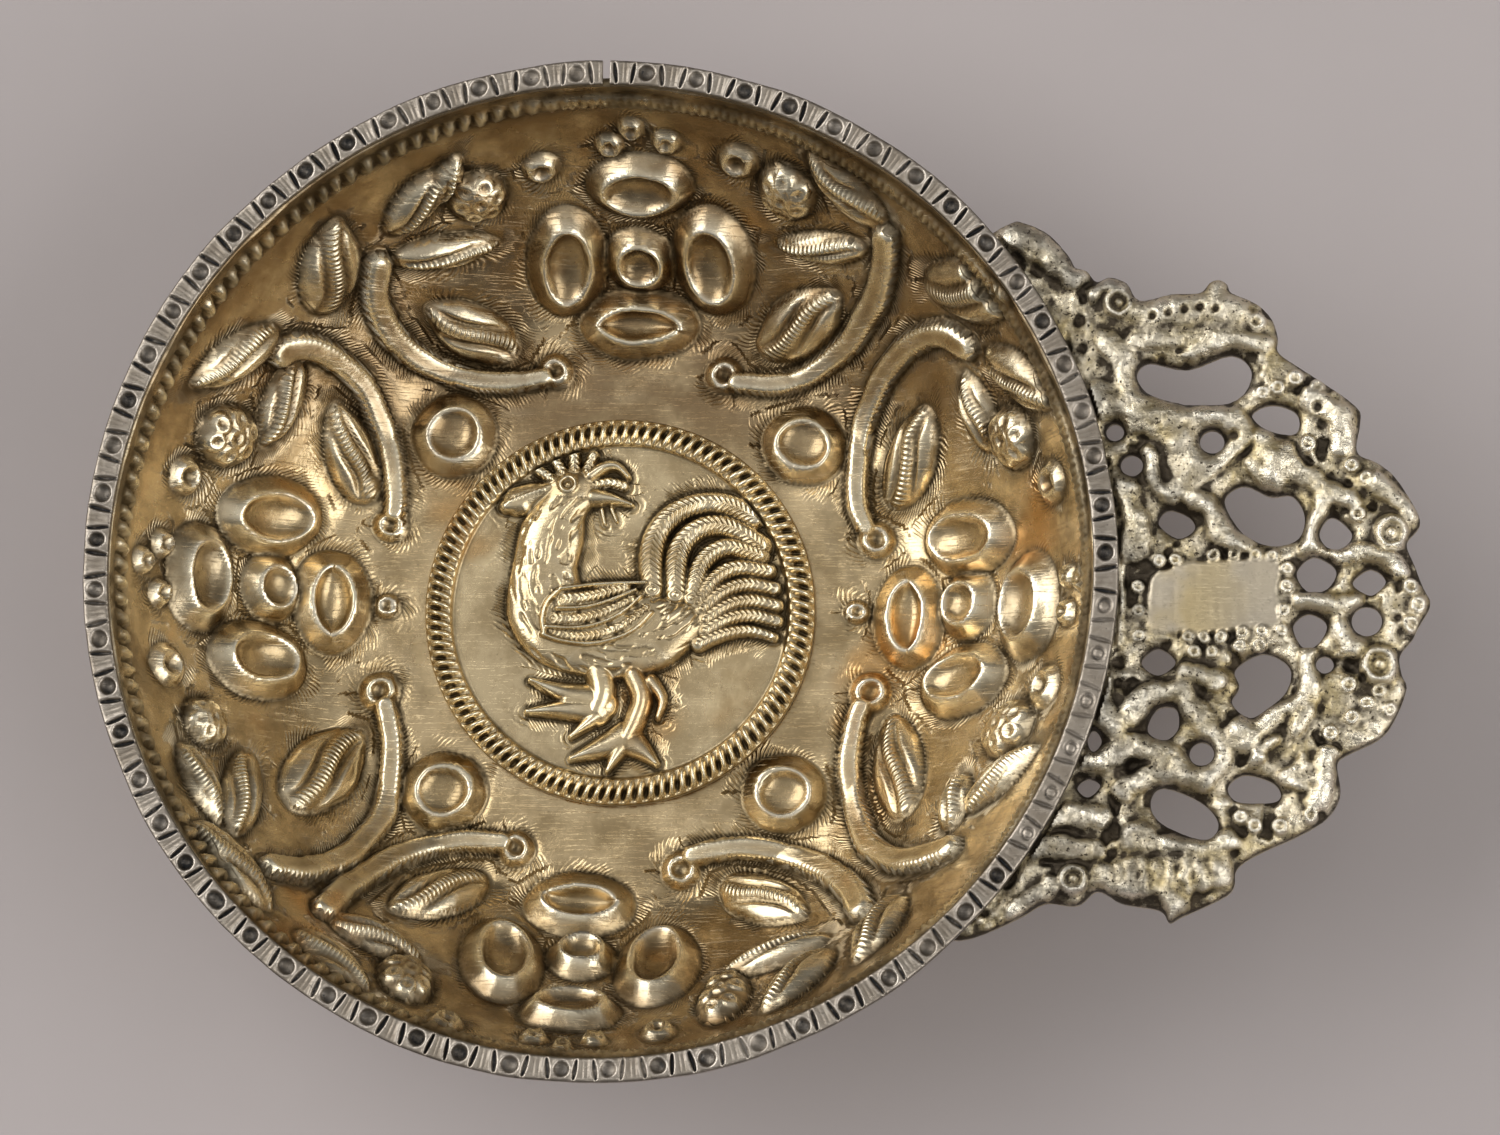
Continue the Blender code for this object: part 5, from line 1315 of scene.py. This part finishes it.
def metal_material(name, groups, look):
    """A metal skin with wear and painted light: bright on the crests, its own colour on the flats, dark in
    the hollows from soiling and painted shade, with a painted highlight on the boss rings and painted shade
    on the bowl's wall.
    """
    material, tree, shader = new_material(name)
    shader["Metallic"].default_value = 1.0
    tarnish_and_shade = place_group(
        tree, groups["tarnish_and_shade"],
        Depth=look["depth"], Patch_Scale=look["patch"], Speck_Level=look["speck_level"],
    )
    rubbed = place_group(tree, groups["rubbed"], Scratch_Scale=look["scratch"])
    body = mix_colour(tree, tarnish_and_shade["Patches"], look["skin"], look["cloud"])
    # Dark in the hollows from soiling and painted shade, and in the real specks
    dark = tarnish_and_shade["Dirt And Shade"] + tarnish_and_shade["Specks"] * look["specks"]
    height = rubbed["Scratches"] * -look["scratch_depth"]
    grain = object_noise(tree, look["grain"], 4.0, 0.65) * look["grain_depth"]
    rough = rubbed["Dull"].between(0.3, 0.7, *look["rough"])
    if "wall" in look:
        # The wall's own colour, with painted shade at the back, the front and under the lip
        body, lip_shade = wall_tone_and_shade(tree, look, tarnish_and_shade["Patches"], body)
        dark = dark + lip_shade
    if "blush" in look:
        stain = object_noise(tree, 60.0, 3.0, 0.5).between(0.6, 0.72, 0.0, 0.6)
        body = mix_colour(tree, stain, body, look["blush"])
    body = mix_colour(tree, rubbed["Crest"], body, look["bright"])
    if "tablet" in look:
        plain = stored(tree, "plain")
        soot = object_noise(tree, 420.0, 5.0, 0.6).between(0.4, 0.6, 0.0, look["smoke"])
        dark = (dark + piece_share(tree, "X", 60.0, 47.0) * soot) * (plain * -0.8 + 1.0)
        gilding = object_noise(tree, 150.0, 3.0, 0.5).between(0.4, 0.62)
        gilding = gilding * piece_share(tree, "X", 60.0, 52.0)
        tablet = mix_colour(tree, gilding, look["tablet"], look["gilding"])
        body = mix_colour(tree, plain * 0.9, body, tablet)
        grain = grain * (plain * -0.9 + 1.0)
        rough = rough + plain * 0.12
    if "strokes" in look:
        chasing = place_group(tree, groups["chasing"])
        # A painted highlight along the crests of the boss rings, in random strength
        ring_highlight = chasing["Rim"] * rubbed["Dull"].between(0.4, 0.6, 0.05, 0.4)
        body = mix_colour(tree, ring_highlight, body, look["ring_highlight"])
        # Soiling and painted shade in the sunk chased marks
        dark = dark + chasing["Cut"] * 0.7
        height = height + chasing["Height"] * look["strokes"]
    dark = dark.worked("MINIMUM", look["darkest"])
    feed(mix_colour(tree, dark, body, look["deep"]), shader["Base Color"])
    feed(rough + dark * 0.25, shader["Roughness"])
    bump = add_node(tree, "ShaderNodeBump")
    bump.inputs["Distance"].default_value = MM
    feed(height + grain, bump.inputs["Height"])
    tree.links.new(bump.outputs["Normal"], shader["Normal"])
    return material


def table_material():
    """Smooth grey card, faintly mottled."""
    material, tree, shader = new_material("grey_table")
    mottle = object_noise(tree, 40.0, 5.0, 0.6).between(0.3, 0.7)
    feed(mix_colour(tree, mottle, *TABLE_GREYS), shader["Base Color"])
    shader["Roughness"].default_value = 0.85
    shader["Specular IOR Level"].default_value = 0.2
    return material


def dress(pieces):
    """Give each piece the metal of its slot."""
    groups = {"tarnish_and_shade": tarnish_and_shade_group(), "rubbed": rubbed_group(), "chasing": chasing_group()}
    for piece, slot in pieces:
        piece.data.materials.clear()
        piece.data.materials.append(metal_material(slot, groups, LOOKS[slot]))


def add_softbox(name, at, width, power):
    """A square light that faces the cup."""
    lamp = bpy.data.lights.new(name, "AREA")
    lamp.size = width
    lamp.energy = power
    made = link_object(name, lamp)
    made.location = at
    made.rotation_euler = (Vector(LIT_PLACE) - Vector(at)).to_track_quat("-Z", "Y").to_euler()


def light_studio():
    """Two large softboxes at the sides, in a room that is bright overhead and at the sides."""
    for softbox in SOFTBOXES:
        add_softbox(*softbox)
    world = bpy.data.worlds.new("studio")
    bpy.context.scene.world = world
    world.use_nodes = True
    tree = world.node_tree
    split = add_node(tree, "ShaderNodeSeparateXYZ")
    tree.links.new(add_node(tree, "ShaderNodeTexCoord").outputs["Generated"], split.inputs[0])
    overhead = Signal(tree, split.outputs["Z"]).between(0.55, 0.98)
    aside = Signal(tree, split.outputs["X"])
    room = mix_colour(tree, overhead, ROOM_LOW, ROOM_OVERHEAD)
    room = mix_colour(tree, aside * aside * 0.7, room, ROOM_SIDES)
    feed(room, tree.nodes["Background"].inputs["Color"])


def lay_table():
    """The table's face, a hair below the cup's flat floor."""
    mesh = bpy.data.meshes.new("table")
    half = TABLE_WIDTH / 2
    corners = [(-half, -half, 0.0), (half, -half, 0.0), (half, half, 0.0), (-half, half, 0.0)]
    mesh.from_pydata(corners, [], [(0, 1, 2, 3)])
    table = link_object("table", mesh)
    table.location.z = -TABLE_DROP * MM
    table.data.materials.append(table_material())


def place_camera():
    """Long lens over the cup, a little towards the front and the handle."""
    across = math.sin(CAMERA_LEAN)
    back = -math.sin(CAMERA_TILT)
    stand = Vector((across, back, math.sqrt(1.0 - across**2 - back**2)))
    target = Vector(PICTURE_MIDDLE) * MM
    right = (Vector((1.0, 0.0, 0.0)) - stand * stand.x).normalized()
    up = stand.cross(right)
    data = bpy.data.cameras.new("camera")
    data.sensor_width = 36.0
    data.lens = data.sensor_width * CAMERA_DISTANCE / PICTURE_WIDTH
    data.clip_start = 0.01
    data.clip_end = 20.0
    camera = link_object("camera", data)
    turn = Matrix((right, up, stand)).transposed().to_4x4()
    camera.matrix_world = Matrix.Translation(target + stand * CAMERA_DISTANCE * MM) @ turn
    bpy.context.scene.camera = camera


dress([
    (make_bowl(), "gilt_sheet"),
    (make_roundel(), "gilt_roundel"),
    (make_strip(), "silver_strip"),
    (make_handle(), "cast_silver"),
])
lay_table()
light_studio()
place_camera()
bpy.context.scene.view_settings.view_transform = "Standard"
